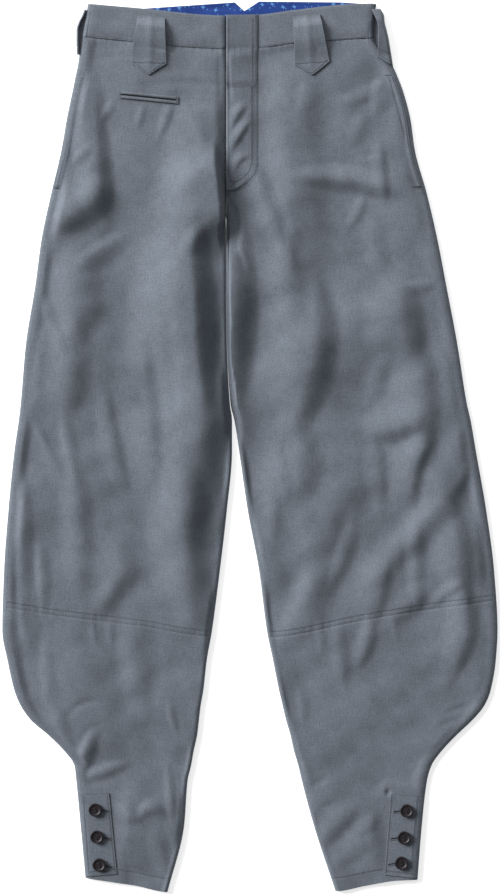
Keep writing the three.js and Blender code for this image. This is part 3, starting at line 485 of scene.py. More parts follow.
@dataclass
class Lie:
    """Heights of the laid cloth, measured on its outer face."""

    roll_high: float = 7.0  # height of the calm cloth
    edge_deep: float = 10.0  # width over which a side edge rounds down
    inner_edge_deep: float = 5.0  # the same at the inner edges
    edge_middle: float = 3.2  # height of the outermost line of a side edge
    highest: float = 27.0  # no fold stands above this
    top_blend: float = 3.0  # softness where the tallest folds near it
    lowest: float = 3.3  # a front that lies on its back
    blend: float = 0.8  # softness where it comes down on it
    side_calm: float = 3.0  # strip along a side seam with no fold
    outer_ease: float = 11.0  # widths over which the folds start beside the edges and the band
    inner_ease: float = 6.0
    tight_ease: float = 2.0  # the same at the centre below the fly
    loose_ease: float = 9.0  # the same on the right front beside the fly
    band_ease: float = 10.0
    band_lift: float = 0.7
    band_under: float = 6.0  # how far below the waist seam the band's layers begin
    band_over: float = 5.0  # distance over which they reach their thickness
    ripple: float = 0.3
    broad: float = 1.6  # spread of the broad swells
    swell: float = 0.04  # how much more the tall folds stand
    centre_dip: float = 1.5  # how far the right front goes down at the centre
    centre_wide: float = 5.0
    placket_start: float = 4.0
    placket_over: float = 20.0
    placket_right: Place = (-161, -400)  # inner upper corner of its flat place
    placket_left: Place = (162, -402)
    recess_deep: float = 3.4
    recess_wall: float = 7.0
    # heights along Y between which each of these fades goes from 0 to 1
    recess_top: Place = (297, 283)
    recess_foot: Place = (180, 240)
    below_fly: Place = (310, 290)
    above_knee: Place = (60, 100)
    beside_fly: Place = (296, 340)
    # height, length and phase of the waves in which a seam puckers
    pucker_waves: tuple[tuple[float, float, float], ...] = ((0.6, 6.7, 0), (0.4, 11.3, 1.3))
    slow_wave: tuple[float, float, float] = (0.5, 61, 0.7)
    slow_mean: float = 0.6
    at_knee: Drawn = Drawn(0.5, 5, 2.5, 1.2)
    at_waist: Drawn = Drawn(0.3, 8, 0, 1.6)
    waist_over: float = 1.0  # how far the waist's puckers run up on the band
    dimple: Place = (159, -397.5)
    dimple_deep: float = 2.6
    dimple_wide: float = 3.0
    dent_ease: float = 16.0
    dent_wide: float = 7.0
    # first X, last X and depth of each dent along the waist seam
    waist_dents: tuple[tuple[float, float, float], ...] = (
        (-190, -132, 1.7), (-112, -26, 1.2), (-27, 14, 0.5), (18, 60, 0.6), (92, 150, 1.1)
    )

    def __post_init__(self) -> None:
        """Draws the ripples and the recess below the fly."""
        self.ripples, self.swells = Ripples(7, 26, 75), Ripples(19, 90, 170)
        self.recess_edge = Curve(
            ((294, -20), (280, -15.5), (269, -9.8), (254, -6.9), (228, -8.6), (212, -2.9), (200, -1))
        )

    def edge(self, inside: Array, deep: float) -> Array:
        """Height of an edge that rounds down over a width, at a distance in from it."""
        t = np.clip(inside / deep, 0, 1)
        return self.edge_middle + (self.roll_high - self.edge_middle) * np.sqrt(1 - (1 - t) ** 2)

    def beside_placket(self, leg: Leg, x: Array, y: Array) -> Array:
        """0 on the flat place under an ankle placket, 1 away from it."""
        edge, top = self.placket_right if leg.side is Side.RIGHT else self.placket_left
        inside = leg.inward * (x - edge)
        across = smooth((inside - self.placket_start) / self.placket_over)
        above = smooth((y - top - self.placket_start) / self.placket_over)
        return np.clip(across + above, 0, 1)

    def centre_ease(self, leg: Leg, y: Array, turned: Array) -> Array:
        """Width over which the folds start beside the inner edge."""
        if leg.side is Side.LEFT:
            tight = fade(y, *self.below_fly) * fade(y, *self.above_knee)
            return lerp(self.inner_ease, self.tight_ease, tight)
        beside_fly = lerp(self.tight_ease, self.loose_ease, fade(y, *self.beside_fly))
        return lerp(beside_fly, self.inner_ease, turned)

    def recess(self, x: Array, y: Array) -> Array:
        """Depth of the low place of the left front between the fly's foot and its first fold."""
        inside = smooth((self.recess_edge(y) - x) / self.recess_wall)
        return self.recess_deep * inside * fade(y, *self.recess_top) * fade(y, *self.recess_foot)

    def sewn(self, x: Array, y: Array) -> Array:
        """Dips and puckers along the waist and knee seams."""
        knee, waist = y - knee_seam(x), waist_seam(x) - y
        waves = sum(self.wave(x, *one) for one in self.pucker_waves)
        at_knee = self.at_knee.height(knee, waves * (self.slow_mean + self.wave(x, *self.slow_wave)))
        at_waist = np.where(waist > -self.waist_over, self.at_waist.height(waist, waves), 0.0)
        valley = 0.0
        for start, end, deep in self.waist_dents:
            valley += deep * smooth((x - start) / self.dent_ease) * smooth((end - x) / self.dent_ease)
        from_dimple = np.hypot(x - self.dimple[0], y - self.dimple[1])
        dents = valley * bell(waist, self.dent_wide) + self.dimple_deep * bell(from_dimple, self.dimple_wide)
        return at_knee + at_waist - dents

    def wave(self, x: Array, high: float, long: float, phase: float) -> Array:
        """A wave along X."""
        return high * np.sin(x * 2 * np.pi / long + phase)

    def front(self, leg: Leg, x: Array, y: Array) -> Array:
        """Outer face of a front.

        Args:
            leg: The leg it belongs to.
            x: Places along X.
            y: Places along Y, in the same shape.

        Returns:
            Heights in the same shape.
        """
        x, y = np.asarray(x, float), np.asarray(y, float)
        from_outer = leg.inward * (x - leg.outer(y))
        from_inner = leg.inward * (leg.inner(y) - x)
        turned = leg.turned(y)
        base = np.minimum(
            self.edge(from_outer, self.edge_deep),
            lerp(self.roll_high, self.edge(from_inner, self.inner_edge_deep), turned),
        )
        inner_seam = lerp(CENTRE_SPACE, leg.inner_deep, turned)
        calm = (
            smooth((from_outer - leg.roll_deep - self.side_calm) / self.outer_ease)
            * smooth((from_inner - inner_seam) / self.centre_ease(leg, y, turned))
            * smooth((waist_seam(x) - y) / self.band_ease)
            * self.beside_placket(leg, x, y)
        )
        folds = sum(fold.height(x, y) * (1 + self.swell * fold.rise) for fold in leg.folds)
        uneven = self.ripple * self.ripples(x, y) + self.broad * self.swells(x, y)
        high = base + calm * (folds + uneven) + self.sewn(x, y)
        if leg.side is Side.RIGHT:
            high -= self.centre_dip * (1 - smooth(from_inner / self.centre_wide)) * (1 - turned)
        else:
            high -= self.recess(x, y)
        over = high - self.lowest
        high = self.lowest + 0.5 * (over + np.hypot(over, self.blend))
        return 0.5 * (high + self.highest - np.hypot(high - self.highest, self.top_blend))

    def dressed(self, leg: Leg, x: Array, y: Array) -> Array:
        """Outer face with the waistband's extra layers."""
        layers = smooth((y - waist_seam(x) + self.band_under) / self.band_over)
        return self.front(leg, x, y) + self.band_lift * layers


# ---- meshes of cloth


def deselect() -> None:
    """Clears the selection, which the loaded frame fills."""
    if bpy.context.object and bpy.context.object.mode != "OBJECT":
        bpy.ops.object.mode_set(mode="OBJECT")
    bpy.ops.object.select_all(action="DESELECT")


def activate(piece: Piece) -> None:
    """Makes one piece the only selected and active one."""
    deselect()
    piece.select_set(True)
    bpy.context.view_layer.objects.active = piece


def apply_modifier(piece: Piece, kind: str, **settings: float | str | bool) -> None:
    """Adds a modifier and applies it.

    Args:
        piece: The piece it works on.
        kind: Blender's name of the modifier.
        settings: Its settings.
    """
    activate(piece)
    modifier = piece.modifiers.new(kind.title(), kind)
    for key, value in settings.items():
        setattr(modifier, key, value)
    bpy.ops.object.modifier_apply(modifier=modifier.name)


def smooth_shading(piece: Piece, angle: float = 50) -> None:
    """Shades a piece smooth but for edges sharper than an angle in degrees."""
    activate(piece)
    bpy.ops.object.shade_smooth_by_angle(angle=math.radians(angle))


def link(name: str, data: bpy.types.ID) -> Piece:
    """Makes an object of some data and links it."""
    made = bpy.data.objects.new(name, data)
    bpy.context.scene.collection.objects.link(made)
    return made


def new_object(name: str, points: Array, faces: Sequence[Sequence[int]]) -> Piece:
    """Links a mesh object.

    Args:
        name: Its name.
        points: Vertices in millimetres.
        faces: Corners of each face.

    Returns:
        The object.
    """
    mesh = bpy.data.meshes.new(name)
    mesh.from_pydata((np.asarray(points) * MM).tolist(), [], faces)
    mesh.update()
    return link(name, mesh)


def row_distance(x: Array, y: Array, rows: Sequence[Points]) -> Array:
    """Signed distance from each place to the nearest sewn row that runs beside it.

    Args:
        x: Places along X.
        y: Places along Y.
        rows: Rows as points.

    Returns:
        Distances, and far more than any width past the ends of the rows.
    """
    best = np.full(x.shape, FAR_OFF)
    for row in rows:
        for (ax, ay), (bx, by) in zip(row[:-1], row[1:]):
            dx, dy = bx - ax, by - ay
            long = math.hypot(dx, dy)
            along = ((x - ax) * dx + (y - ay) * dy) / long
            across = (dx * (y - ay) - dy * (x - ax)) / long
            beside = (along > -ROW_END) & (along < long + ROW_END)
            near = beside & (np.abs(across) < np.abs(best))
            best = np.where(near, across, best)
            unset = ~beside & (np.abs(best) >= FAR_OFF)
            best = np.where(unset, np.copysign(FAR_OFF, across), best)
    return best


@dataclass
class Sewn:
    """Sewn rows and slits that mark a sheet's face: two families of rows, whose grooves get painted shade,
    and slits, which get painted shadow.
    """

    first: list[Points] = field(default_factory=list)
    second: list[Points] = field(default_factory=list)
    # slits that the cloth material paints dark as shadow
    shadow_slits: list[Points] = field(default_factory=list)

    def distances(self, x: Array, y: Array) -> Array:
        """Signed distances to each family, side by side."""
        families = (self.first, self.second, self.shadow_slits)
        return np.stack([row_distance(x, y, rows) for rows in families], -1)


@dataclass
class Sheet:
    """A sheet of cloth: a grid of points on its outer face, with a wall inside it."""

    name: str
    grid: Array
    wall: float
    outward: int = 1  # -1 where the middle of the face looks down
    bevel: float = 0.0
    sewn: Sewn = field(default_factory=Sewn)
    marks: Array | None = None  # places for the sewn rows where they aren't X and Y

    def steps(self) -> tuple[Array, Array]:
        """Distances from point to point, across and along the cloth."""
        across, along = (np.linalg.norm(np.diff(self.grid, axis=way), axis=2) for way in (1, 0))
        return across, along

    def cut(self) -> tuple[float, float, float]:
        """The flat width, length and area of the cloth, in metres."""
        across, along = self.steps()
        one = self.grid[1:, 1:] - self.grid[:-1, :-1]
        two = self.grid[1:, :-1] - self.grid[:-1, 1:]
        area = 0.5 * np.linalg.norm(np.cross(one, two), axis=2).sum()
        return across.sum(1).max() * MM, along.sum(0).max() * MM, area * MM * MM

    def lengths(self) -> tuple[Array, Array]:
        """Places on the cloth measured along it, in metres, close to X and Y."""
        across, along = self.steps()
        way = np.sign(self.grid[0, -1, 0] - self.grid[0, 0, 0]) or 1.0
        u = self.grid[:, :1, 0] + way * np.pad(across, ((0, 0), (1, 0))).cumsum(1)
        v = self.grid[:1, :, 1] - np.pad(along, ((1, 0), (0, 0))).cumsum(0)
        return u * MM, v * MM

    def build(self) -> Piece:
        """Makes the closed mesh with its weave map and sewing marks."""
        rows, columns = self.grid.shape[:2]
        index = np.arange(rows * columns).reshape(rows, columns)
        quads = np.stack([index[:-1, :-1], index[1:, :-1], index[1:, 1:], index[:-1, 1:]], -1)
        i, j = rows // 2, columns // 2
        normal = np.cross(
            self.grid[i, j] - self.grid[i - 1, j], self.grid[i, j] - self.grid[i, j - 1]
        )
        faces = quads.reshape(-1, 4)
        if normal[2] * self.outward < 0:
            faces = faces[:, ::-1]
        piece = new_object(self.name, self.grid.reshape(-1, 3), faces.tolist())
        mesh = piece.data
        corners = np.empty(len(mesh.loops), np.int32)
        mesh.loops.foreach_get("vertex_index", corners)
        u, v = (part.ravel()[corners] for part in self.lengths())
        mesh.uv_layers.new(name="weave").data.foreach_set("uv", np.stack([u, v], 1).ravel())
        places = self.grid if self.marks is None else self.marks
        marks = self.sewn.distances(places[..., 0], places[..., 1])
        stitch = mesh.attributes.new("stitch", "FLOAT_VECTOR", "POINT")
        stitch.data.foreach_set("vector", marks.reshape(-1).astype(np.float32))
        apply_modifier(piece, "SOLIDIFY", thickness=self.wall * MM, offset=-1)
        if self.bevel:
            apply_modifier(
                piece, "BEVEL", width=self.bevel * MM, segments=2,
                limit_method="ANGLE", angle_limit=math.radians(55),
            )
        smooth_shading(piece)
        return piece


def spaced(length: float, step: float, ends: Sequence[float] = (0.6, 1.4, 2.6, 4.2)) -> Array:
    """Parts from 0 to 1 of a length, a step apart and closer together at both ends."""
    close = np.array((0.0, *ends))
    count = max(2, round((length - 2 * close[-1]) / step) - 1)
    inner = np.linspace(close[-1] + step, length - close[-1] - step, count)
    return np.concatenate([close, inner, (length - close)[::-1]]) / length


def place_on(
    across: Callable[[Array], Array], top: Line, bottom: Line, down: Array
) -> tuple[Array, Array]:
    """Places on the cloth, found by going back and forth between two families of lines.

    Args:
        across: X as a function of Y.
        top: Y of the top line as a function of X.
        bottom: Y of the bottom line as a function of X.
        down: How far down each place lies, from 0 to 1.

    Returns:
        X and Y of the places.
    """
    x = across(np.zeros_like(down))
    y = down
    for _ in range(PLACE_ROUNDS):
        y = lerp(top(x), bottom(x), down)
        x = across(y)
    return x, y


# ---- shader graphs


class Socket:
    """An output of a node, so that shader maths reads as Python."""

    def __init__(self, graph: "Graph", out: bpy.types.NodeSocket) -> None:
        """Keeps the output and the graph it is in."""
        self.graph, self.out = graph, out

    def maths(self, operation: str, *values: "Socket | float") -> "Socket":
        """Adds a Math node."""
        return self.graph.node("ShaderNodeMath", {"operation": operation}, dict(enumerate(values)))

    def __add__(self, other: "Socket | float") -> "Socket":
        """The sum."""
        return self.maths("ADD", self, other)

    def __sub__(self, other: "Socket | float") -> "Socket":
        """The difference."""
        return self.maths("SUBTRACT", self, other)

    def __rsub__(self, other: float) -> "Socket":
        """The difference, reflected."""
        return self.maths("SUBTRACT", other, self)

    def __mul__(self, other: "Socket | float") -> "Socket":
        """The product."""
        return self.maths("MULTIPLY", self, other)

    def __truediv__(self, other: "Socket | float") -> "Socket":
        """The quotient."""
        return self.maths("DIVIDE", self, other)

    def sine(self) -> "Socket":
        """The sine."""
        return self.maths("SINE", self)

    def limited(self) -> "Socket":
        """The value held between 0 and 1."""
        return self.maths("MINIMUM", self.maths("MAXIMUM", self, 0.0), 1.0)

    def near(self, width: float) -> "Socket":
        """1 where the value is 0, falling softly to 0 at a width to either side."""
        close = (1 - self.maths("ABSOLUTE", self) / width).limited()
        return close * close


class Graph:
    """The node tree of one material."""

    def __init__(self, name: str) -> None:
        """Makes the material with an empty tree."""
        self.material = bpy.data.materials.new(name)
        self.material.use_nodes = True
        self.tree = self.material.node_tree
        self.tree.nodes.clear()

    def node(
        self,
        kind: str,
        settings: dict[str, object],
        inputs: "dict[int | str, Socket | float | tuple]",
        output: int | str = 0,
    ) -> Socket:
        """Adds a node.

        Args:
            kind: Blender's name of the node's type.
            settings: Its settings, which are set first.
            inputs: Values or sockets for its inputs, by name or number.
            output: The output that is returned.

        Returns:
            That output.
        """
        made = self.tree.nodes.new(kind)
        for key, value in settings.items():
            setattr(made, key, value)
        for key, value in inputs.items():
            if isinstance(value, Socket):
                self.tree.links.new(value.out, made.inputs[key])
            else:
                made.inputs[key].default_value = value
        return Socket(self, made.outputs[output])

    def place(self, on_cloth: bool) -> Socket:
        """The place in millimetres, along the cloth or in space."""
        if on_cloth:
            place = self.node("ShaderNodeUVMap", {"uv_map": "weave"}, {})
        else:
            place = self.node("ShaderNodeTexCoord", {}, {}, "Object")
        return self.scaled(place, (1 / MM, 1 / MM, 1 / MM))

    def mix(self, factor: Socket, one: Socket | tuple, two: Socket | tuple) -> Socket:
        """A colour between two colours."""
        return self.node("ShaderNodeMix", {"data_type": "RGBA"}, {0: factor, 6: one, 7: two}, 2)

    def tint(self, factor: Socket, one: Screen, two: Screen) -> Socket:
        """A colour between two screen colours."""
        return self.mix(factor.limited(), linear(*one), linear(*two))

    def scaled(self, vector: Socket, by: tuple[float, float, float]) -> Socket:
        """A vector scaled along each axis."""
        return self.node("ShaderNodeVectorMath", {"operation": "MULTIPLY"}, {0: vector, 1: by})

    def noise(self, vector: Socket, scale: float, detail: float) -> Socket:
        """Noise about 0, from -0.5 to 0.5."""
        inputs = {"Vector": vector, "Scale": scale, "Detail": detail, "Roughness": 0.55}
        return self.node("ShaderNodeTexNoise", {}, inputs) - 0.5

    def parts(self, vector: Socket) -> tuple[Socket, Socket, Socket]:
        """The three numbers of a vector."""
        first = self.node("ShaderNodeSeparateXYZ", {}, {0: vector})
        outs = first.out.node.outputs
        return first, Socket(self, outs[1]), Socket(self, outs[2])

    def bump(self, height: Socket) -> Socket:
        """A normal for a height in millimetres."""
        return self.node("ShaderNodeBump", {}, {"Height": height, "Distance": MM, "Strength": 1.0})

    def finish(self, inputs: "dict[str, Socket | float | tuple]") -> bpy.types.Material:
        """Ends the tree with a Principled shader.

        Args:
            inputs: Values or sockets for its inputs.

        Returns:
            The material.
        """
        shader = self.node("ShaderNodeBsdfPrincipled", {}, inputs)
        end = self.tree.nodes.new("ShaderNodeOutputMaterial")
        self.tree.links.new(shader.out, end.inputs["Surface"])
        return self.material


def linear(red: int, green: int, blue: int) -> tuple[float, float, float, float]:
    """A screen colour of 0 to 255 as a linear one."""
    parts = [v / 255 for v in (red, green, blue)]
    parts = [v / 12.92 if v <= 0.04045 else ((v + 0.055) / 1.055) ** 2.4 for v in parts]
    return (*parts, 1.0)


@dataclass(frozen=True)
class Grain:
    """A layer of noise in a cloth, so many to a millimetre each way."""

    across: float
    down: float
    detail: float
    tone: float  # what it adds to the tone
    relief: float = 0.0  # what it adds to the height, in millimetres

    def noise(self, graph: Graph, place: Socket) -> Socket:
        """The noise at a place in millimetres."""
        return graph.noise(graph.scaled(place, (self.across, self.down, 1.0)), 1.0, self.detail)


@dataclass(frozen=True)
class ClothFinish:
    """Heathered wool twill: mixed light and dark fibres, a fine diagonal and a short nap, with painted shade
    in sewn grooves and painted shadow in slits.
    """

    name: str = "grey_twill"
    light: Screen = (130, 138, 149)
    dark: Screen = (76, 82, 90)
    # painted shade: the colour and strength with which the grooves of sewn rows are darkened
    groove_painted_shade: Screen = (34, 37, 42)
    # painted shadow: the colour and strength with which slits are darkened
    slit_painted_shadow: Screen = (14, 15, 17)
    groove_shade_strength: float = 0.34
    slit_shadow_strength: float = 0.9
    groove_wide: float = 1.5
    groove_deep: float = 0.32
    slit_wide: float = 1.0
    slit_deep: float = 0.5
    sheen: float = 0.12
    middle: float = 0.47  # from the dark tone to the light one
    diagonal: float = 0.8  # distance between two ridges of the twill, across and down added
    twill_tone: float = 0.04
    twill_relief: float = 0.02
    grains: tuple[Grain, ...] = (
        Grain(0.62, 0.62, 3.0, 1.05, 0.16),  # mixed fibres
        Grain(1.9, 1.9, 2.0, 0.8, 0.1),  # flecks
        Grain(1.1, 0.07, 2.0, 0.46, 0.08),  # warp threads
        Grain(0.07, 1.1, 2.0, 0.34, 0.06),  # weft threads
        Grain(0.11, 0.11, 3.0, 0.3),  # mottle
        Grain(0.018, 0.018, 2.0, 0.3),  # broad clouds
    )

    def material(self) -> bpy.types.Material:
        """The cloth's material."""
        graph = Graph(self.name)
        mm = graph.place(on_cloth=True)
        across, down, _ = graph.parts(mm)
        twill = ((across + down) * (2 * math.pi / self.diagonal)).sine()
        tone, relief = twill * self.twill_tone + self.middle, twill * self.twill_relief
        for grain in self.grains:
            noise = grain.noise(graph, mm)
            tone = tone + noise * grain.tone
            if grain.relief:
                relief = relief + noise * grain.relief
        rows = graph.node("ShaderNodeAttribute", {"attribute_name": "stitch"}, {}, "Vector")
        first, second, slit = graph.parts(rows)
        groove = first.near(self.groove_wide) + second.near(self.groove_wide)
        hole = slit.near(self.slit_wide)
        # painted shade in the grooves of the sewn rows
        shade = (groove * self.groove_shade_strength).limited()
        cloth = graph.tint(tone, self.dark, self.light)
        sewn = graph.mix(shade, cloth, linear(*self.groove_painted_shade))
        # painted shadow in the slits
        colour = graph.mix((hole * 1.6).limited() * self.slit_shadow_strength, sewn, linear(*self.slit_painted_shadow))
        relief = relief - groove * self.groove_deep - hole * self.slit_deep
        return graph.finish(
            {
                "Base Color": colour,
                "Roughness": 0.88,
                "Specular IOR Level": 0.25,
                "Sheen Weight": self.sheen,
                "Sheen Roughness": 0.45,
                "Normal": graph.bump(relief),
            }
        )


@dataclass(frozen=True)
class LiningFinish:
    """Dark blue cotton with a small light print of dots and four-pointed stars."""

    name: str = "blue_print_cotton"
    ground: Screen = (32, 68, 146)
    deep: Screen = (22, 50, 116)
    motif: Screen = (104, 158, 222)
    star_size: float = 0.32
    dot_size: float = 0.1

    def material(self) -> bpy.types.Material:
        """The lining's material."""
        graph = Graph(self.name)
        mm = graph.place(on_cloth=True)
        weave = graph.noise(mm, 1.6, 2.0)
        cloud = graph.noise(mm, 0.05, 2.0)
        star = graph.node(
            "ShaderNodeTexVoronoi",
            {"distance": "MINKOWSKI", "voronoi_dimensions": "2D"},
            {"Vector": mm, "Scale": 0.072, "Exponent": 0.5, "Randomness": 0.55},
        )
        dot = graph.node(
            "ShaderNodeTexVoronoi",
            {"voronoi_dimensions": "2D"},
            {"Vector": mm, "Scale": 0.12, "Randomness": 0.7},
        )
        stars = ((self.star_size - star) * 10.0).limited()
        dots = ((self.dot_size - dot) * 18.0).limited()
        ground = graph.tint(weave * 0.5 + cloud * 0.9 + 0.55, self.deep, self.ground)
        printed = graph.mix((stars + dots).limited() * 0.8, ground, linear(*self.motif))
        return graph.finish(
            {
                "Base Color": printed,
                "Roughness": 0.7,
                "Specular IOR Level": 0.3,
                "Normal": graph.bump(weave * 0.12),
            }
        )


@dataclass(frozen=True)
class ResinFinish:
    """Dark polished resin of the buttons, faintly streaked, with random duller scuffs."""

    name: str = "dark_resin"
    body: Screen = (25, 20, 25)
    streak: Screen = (46, 38, 44)

    def material(self) -> bpy.types.Material:
        """The buttons' material."""
        graph = Graph(self.name)
        mm = graph.place(on_cloth=False)
        streaks = graph.noise(graph.scaled(mm, (0.9, 0.25, 0.6)), 1.0, 3.0)
        scuffs = graph.noise(mm, 2.4, 3.0)
        colour = graph.tint(streaks * 1.6 + 0.35, self.body, self.streak)
        return graph.finish(
            {
                "Base Color": colour,
                "Roughness": (scuffs * 0.22 + 0.46).limited(),
                "Specular IOR Level": 0.5,
                "Normal": graph.bump(scuffs * 0.03),
            }
        )


@dataclass(frozen=True)
class ThreadFinish:
    """Twisted sewing thread."""

    name: str = "grey_thread"
    light: Screen = (112, 119, 129)
    dark: Screen = (78, 84, 92)

    def material(self) -> bpy.types.Material:
        """The thread's material."""
        graph = Graph(self.name)
        mm = graph.place(on_cloth=False)
        x, y, _ = graph.parts(mm)
        twist = ((x + y) * (2 * math.pi / 0.5)).sine()
        fluff = graph.noise(mm, 2.2, 2.0)
        colour = graph.tint(twist * 0.2 + fluff * 0.5 + 0.5, self.dark, self.light)
        return graph.finish(
            {
                "Base Color": colour,
                "Roughness": 0.75,
                "Sheen Weight": 0.1,
                "Normal": graph.bump(twist * 0.04 + fluff * 0.05),
            }
        )


@dataclass(frozen=True)
class FloorFinish:
    """Plain white table."""

    name: str = "white_table"
    colour: Screen = (244, 244, 244)
    glow: float = 0.65

    def material(self) -> bpy.types.Material:
        """The floor's material."""
        graph = Graph(self.name)
        grain = graph.noise(graph.place(on_cloth=False), 0.4, 2.0)
        return graph.finish(
            {
                "Base Color": linear(*self.colour),
                "Roughness": 0.9,
                "Specular IOR Level": 0.1,
                "Emission Color": (1, 1, 1, 1),
                "Emission Strength": self.glow,
                "Normal": graph.bump(grain * 0.02),
            }
        )


class Finishes:
    """One material for each finish."""

    def __init__(self) -> None:
        """Makes the materials."""
        self.cloth = ClothFinish().material()
        self.lining = LiningFinish().material()
        self.resin = ResinFinish().material()
        self.thread = ThreadFinish().material()
        self.dark_thread = ThreadFinish("dark_thread", (46, 42, 48), (26, 24, 28)).material()
        self.floor = FloorFinish().material()


@dataclass
class Tailor:
    """What every sub-assembly works with: the legs, the lie of the cloth and the finishes."""

    legs: tuple[Leg, Leg]
    lie: Lie
    finishes: Finishes
    made: dict[str, Piece] = field(default_factory=dict)

    def leg(self, side: Side) -> Leg:
        """The leg of one side."""
        return next(leg for leg in self.legs if leg.side is side)

    def front(self, side: Side) -> Height:
        """The outer face of one side's front."""
        return lambda x, y: self.lie.front(self.leg(side), x, y)

    def dressed(self, side: Side) -> Height:
        """The same with the waistband."""
        return lambda x, y: self.lie.dressed(self.leg(side), x, y)

    def dress(
        self, piece: Piece, material: bpy.types.Material, slot: Slot, *nodes: str
    ) -> Piece:
        """Gives a piece its finish, its body and the nodes it stands for.

        Args:
            piece: The piece.
            material: Its material.
            slot: Not used.
            nodes: CAD nodes that it replaces.

        Returns:
            The piece.
        """
        piece.data.materials.clear()
        piece.data.materials.append(material)
        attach(piece, "root")
        if nodes:
            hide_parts(*nodes)
        self.made[piece.name] = piece
        log.info("%s: %d faces", piece.name, len(piece.data.polygons))
        return piece

    def lay(
        self,
        sheet: Sheet,
        node: str,
        slot: Slot = Slot.CLOTH,
    ) -> Piece:
        """Makes a sheet, dresses it and logs its cut.

        Args:
            sheet: The sheet.
            node: The CAD node that it replaces.
            slot: Its material slot.

        Returns:
            The piece.
        """
        material = self.finishes.lining if slot is Slot.LINING else self.finishes.cloth
        piece = self.dress(sheet.build(), material, slot, node)
        wide, long, area = sheet.cut()
        min(area, wide * long)
        log.info("%s: cut %.0f x %.0f mm, %.4f m2", sheet.name, wide / MM, long / MM, area)
        return piece

    def trim(self, sheet: Sheet, node: str) -> Piece:
        """Makes a narrow trim that is sewn on another piece."""
        return self.dress(sheet.build(), self.finishes.cloth, Slot.CLOTH, node)


# ---- the garment's pieces


@dataclass
class SmallPocket:
    """The small pocket of the right front: two lips along a slit."""

    out_x: float = -148.0
    out_y: float = 403.0
    in_x: float = -83.0
    in_y: float = 396.5
    slit: float = 1.9
    wide: float = 3.2
    wall: float = 1.0
    lift: float = 0.35
    swell: float = 0.5

    def middle(self, x: Array) -> Array:
        """Y of the slit."""
        return self.out_y + (x - self.out_x) * (self.in_y - self.out_y) / (self.in_x - self.out_x)

    def line(self) -> Points:
        """The slit from end to end."""
        return [(self.out_x + 1, self.out_y), (self.in_x - 1, self.in_y)]

    def make(self, tailor: Tailor) -> list[str]:
        """Makes the lips.

        Args:
            tailor: What it works with.

        Returns:
            Names of the pieces.
        """
        names = []
        for name, sign in (("upper", 1), ("lower", -1)):
            across, part = np.meshgrid(np.linspace(0, 1, 44), np.linspace(0, 1, 7)[::-sign])
            x = lerp(self.out_x, self.in_x, across)
            y = self.middle(x) + sign * (self.slit / 2 + self.wide * part)
            round_off = self.swell * np.sin(np.pi * part) * np.sin(np.pi * across) ** 0.3
            z = tailor.front(Side.RIGHT)(x, y) + self.lift + self.wall + round_off
            sheet = Sheet(f"pocket_lip_{name}", np.stack([x, y, z], -1), self.wall, bevel=0.3)
            names.append(tailor.trim(sheet, f"welt_pocket_{name}_welt").name)
        return names


@dataclass
class SidePockets:
    """The facing strips of the side pockets, along the side seams."""

    top: float = 424.0
    bottom: float = 298.0
    wide: float = 5.5
    wall: float = 0.9
    above: float = 0.06  # height over the front
    rise: float = 0.5  # what it stands higher at the seam
    space: float = 0.3  # from the seam
    shade_in: float = 1.7  # from the seam to the sewn row, whose groove gets painted shade
    shade_from: float = 348.0  # where that begins on the right

    def make(self, tailor: Tailor, side: Side) -> list[str]:
        """Makes one side's strip.

        Args:
            tailor: What it works with.
            side: Which side.

        Returns:
            Names of the pieces.
        """
        leg = tailor.leg(side)
        u, v = np.meshgrid(np.linspace(0, 1, 7), np.linspace(0, 1, 64))
        y = lerp(self.top, self.bottom, v)
        x = leg.outer_seam(y) + leg.inward * (self.space + self.wide * u)
        z = tailor.front(side)(x, y) + self.above + self.rise * smooth((1 - u) * 1.4)
        at = np.linspace(self.top if side is Side.LEFT else self.shade_from, self.bottom, 9)
        sewn = Sewn(first=[list(zip(leg.outer_seam(at) + leg.inward * self.shade_in, at))])
        name = f"side_pocket_strip_{side.value}"
        sheet = Sheet(name, np.stack([x, y, z], -1), self.wall, bevel=0.2, sewn=sewn)
        return [tailor.trim(sheet, f"side_pocket_welt_{side.value}").name]


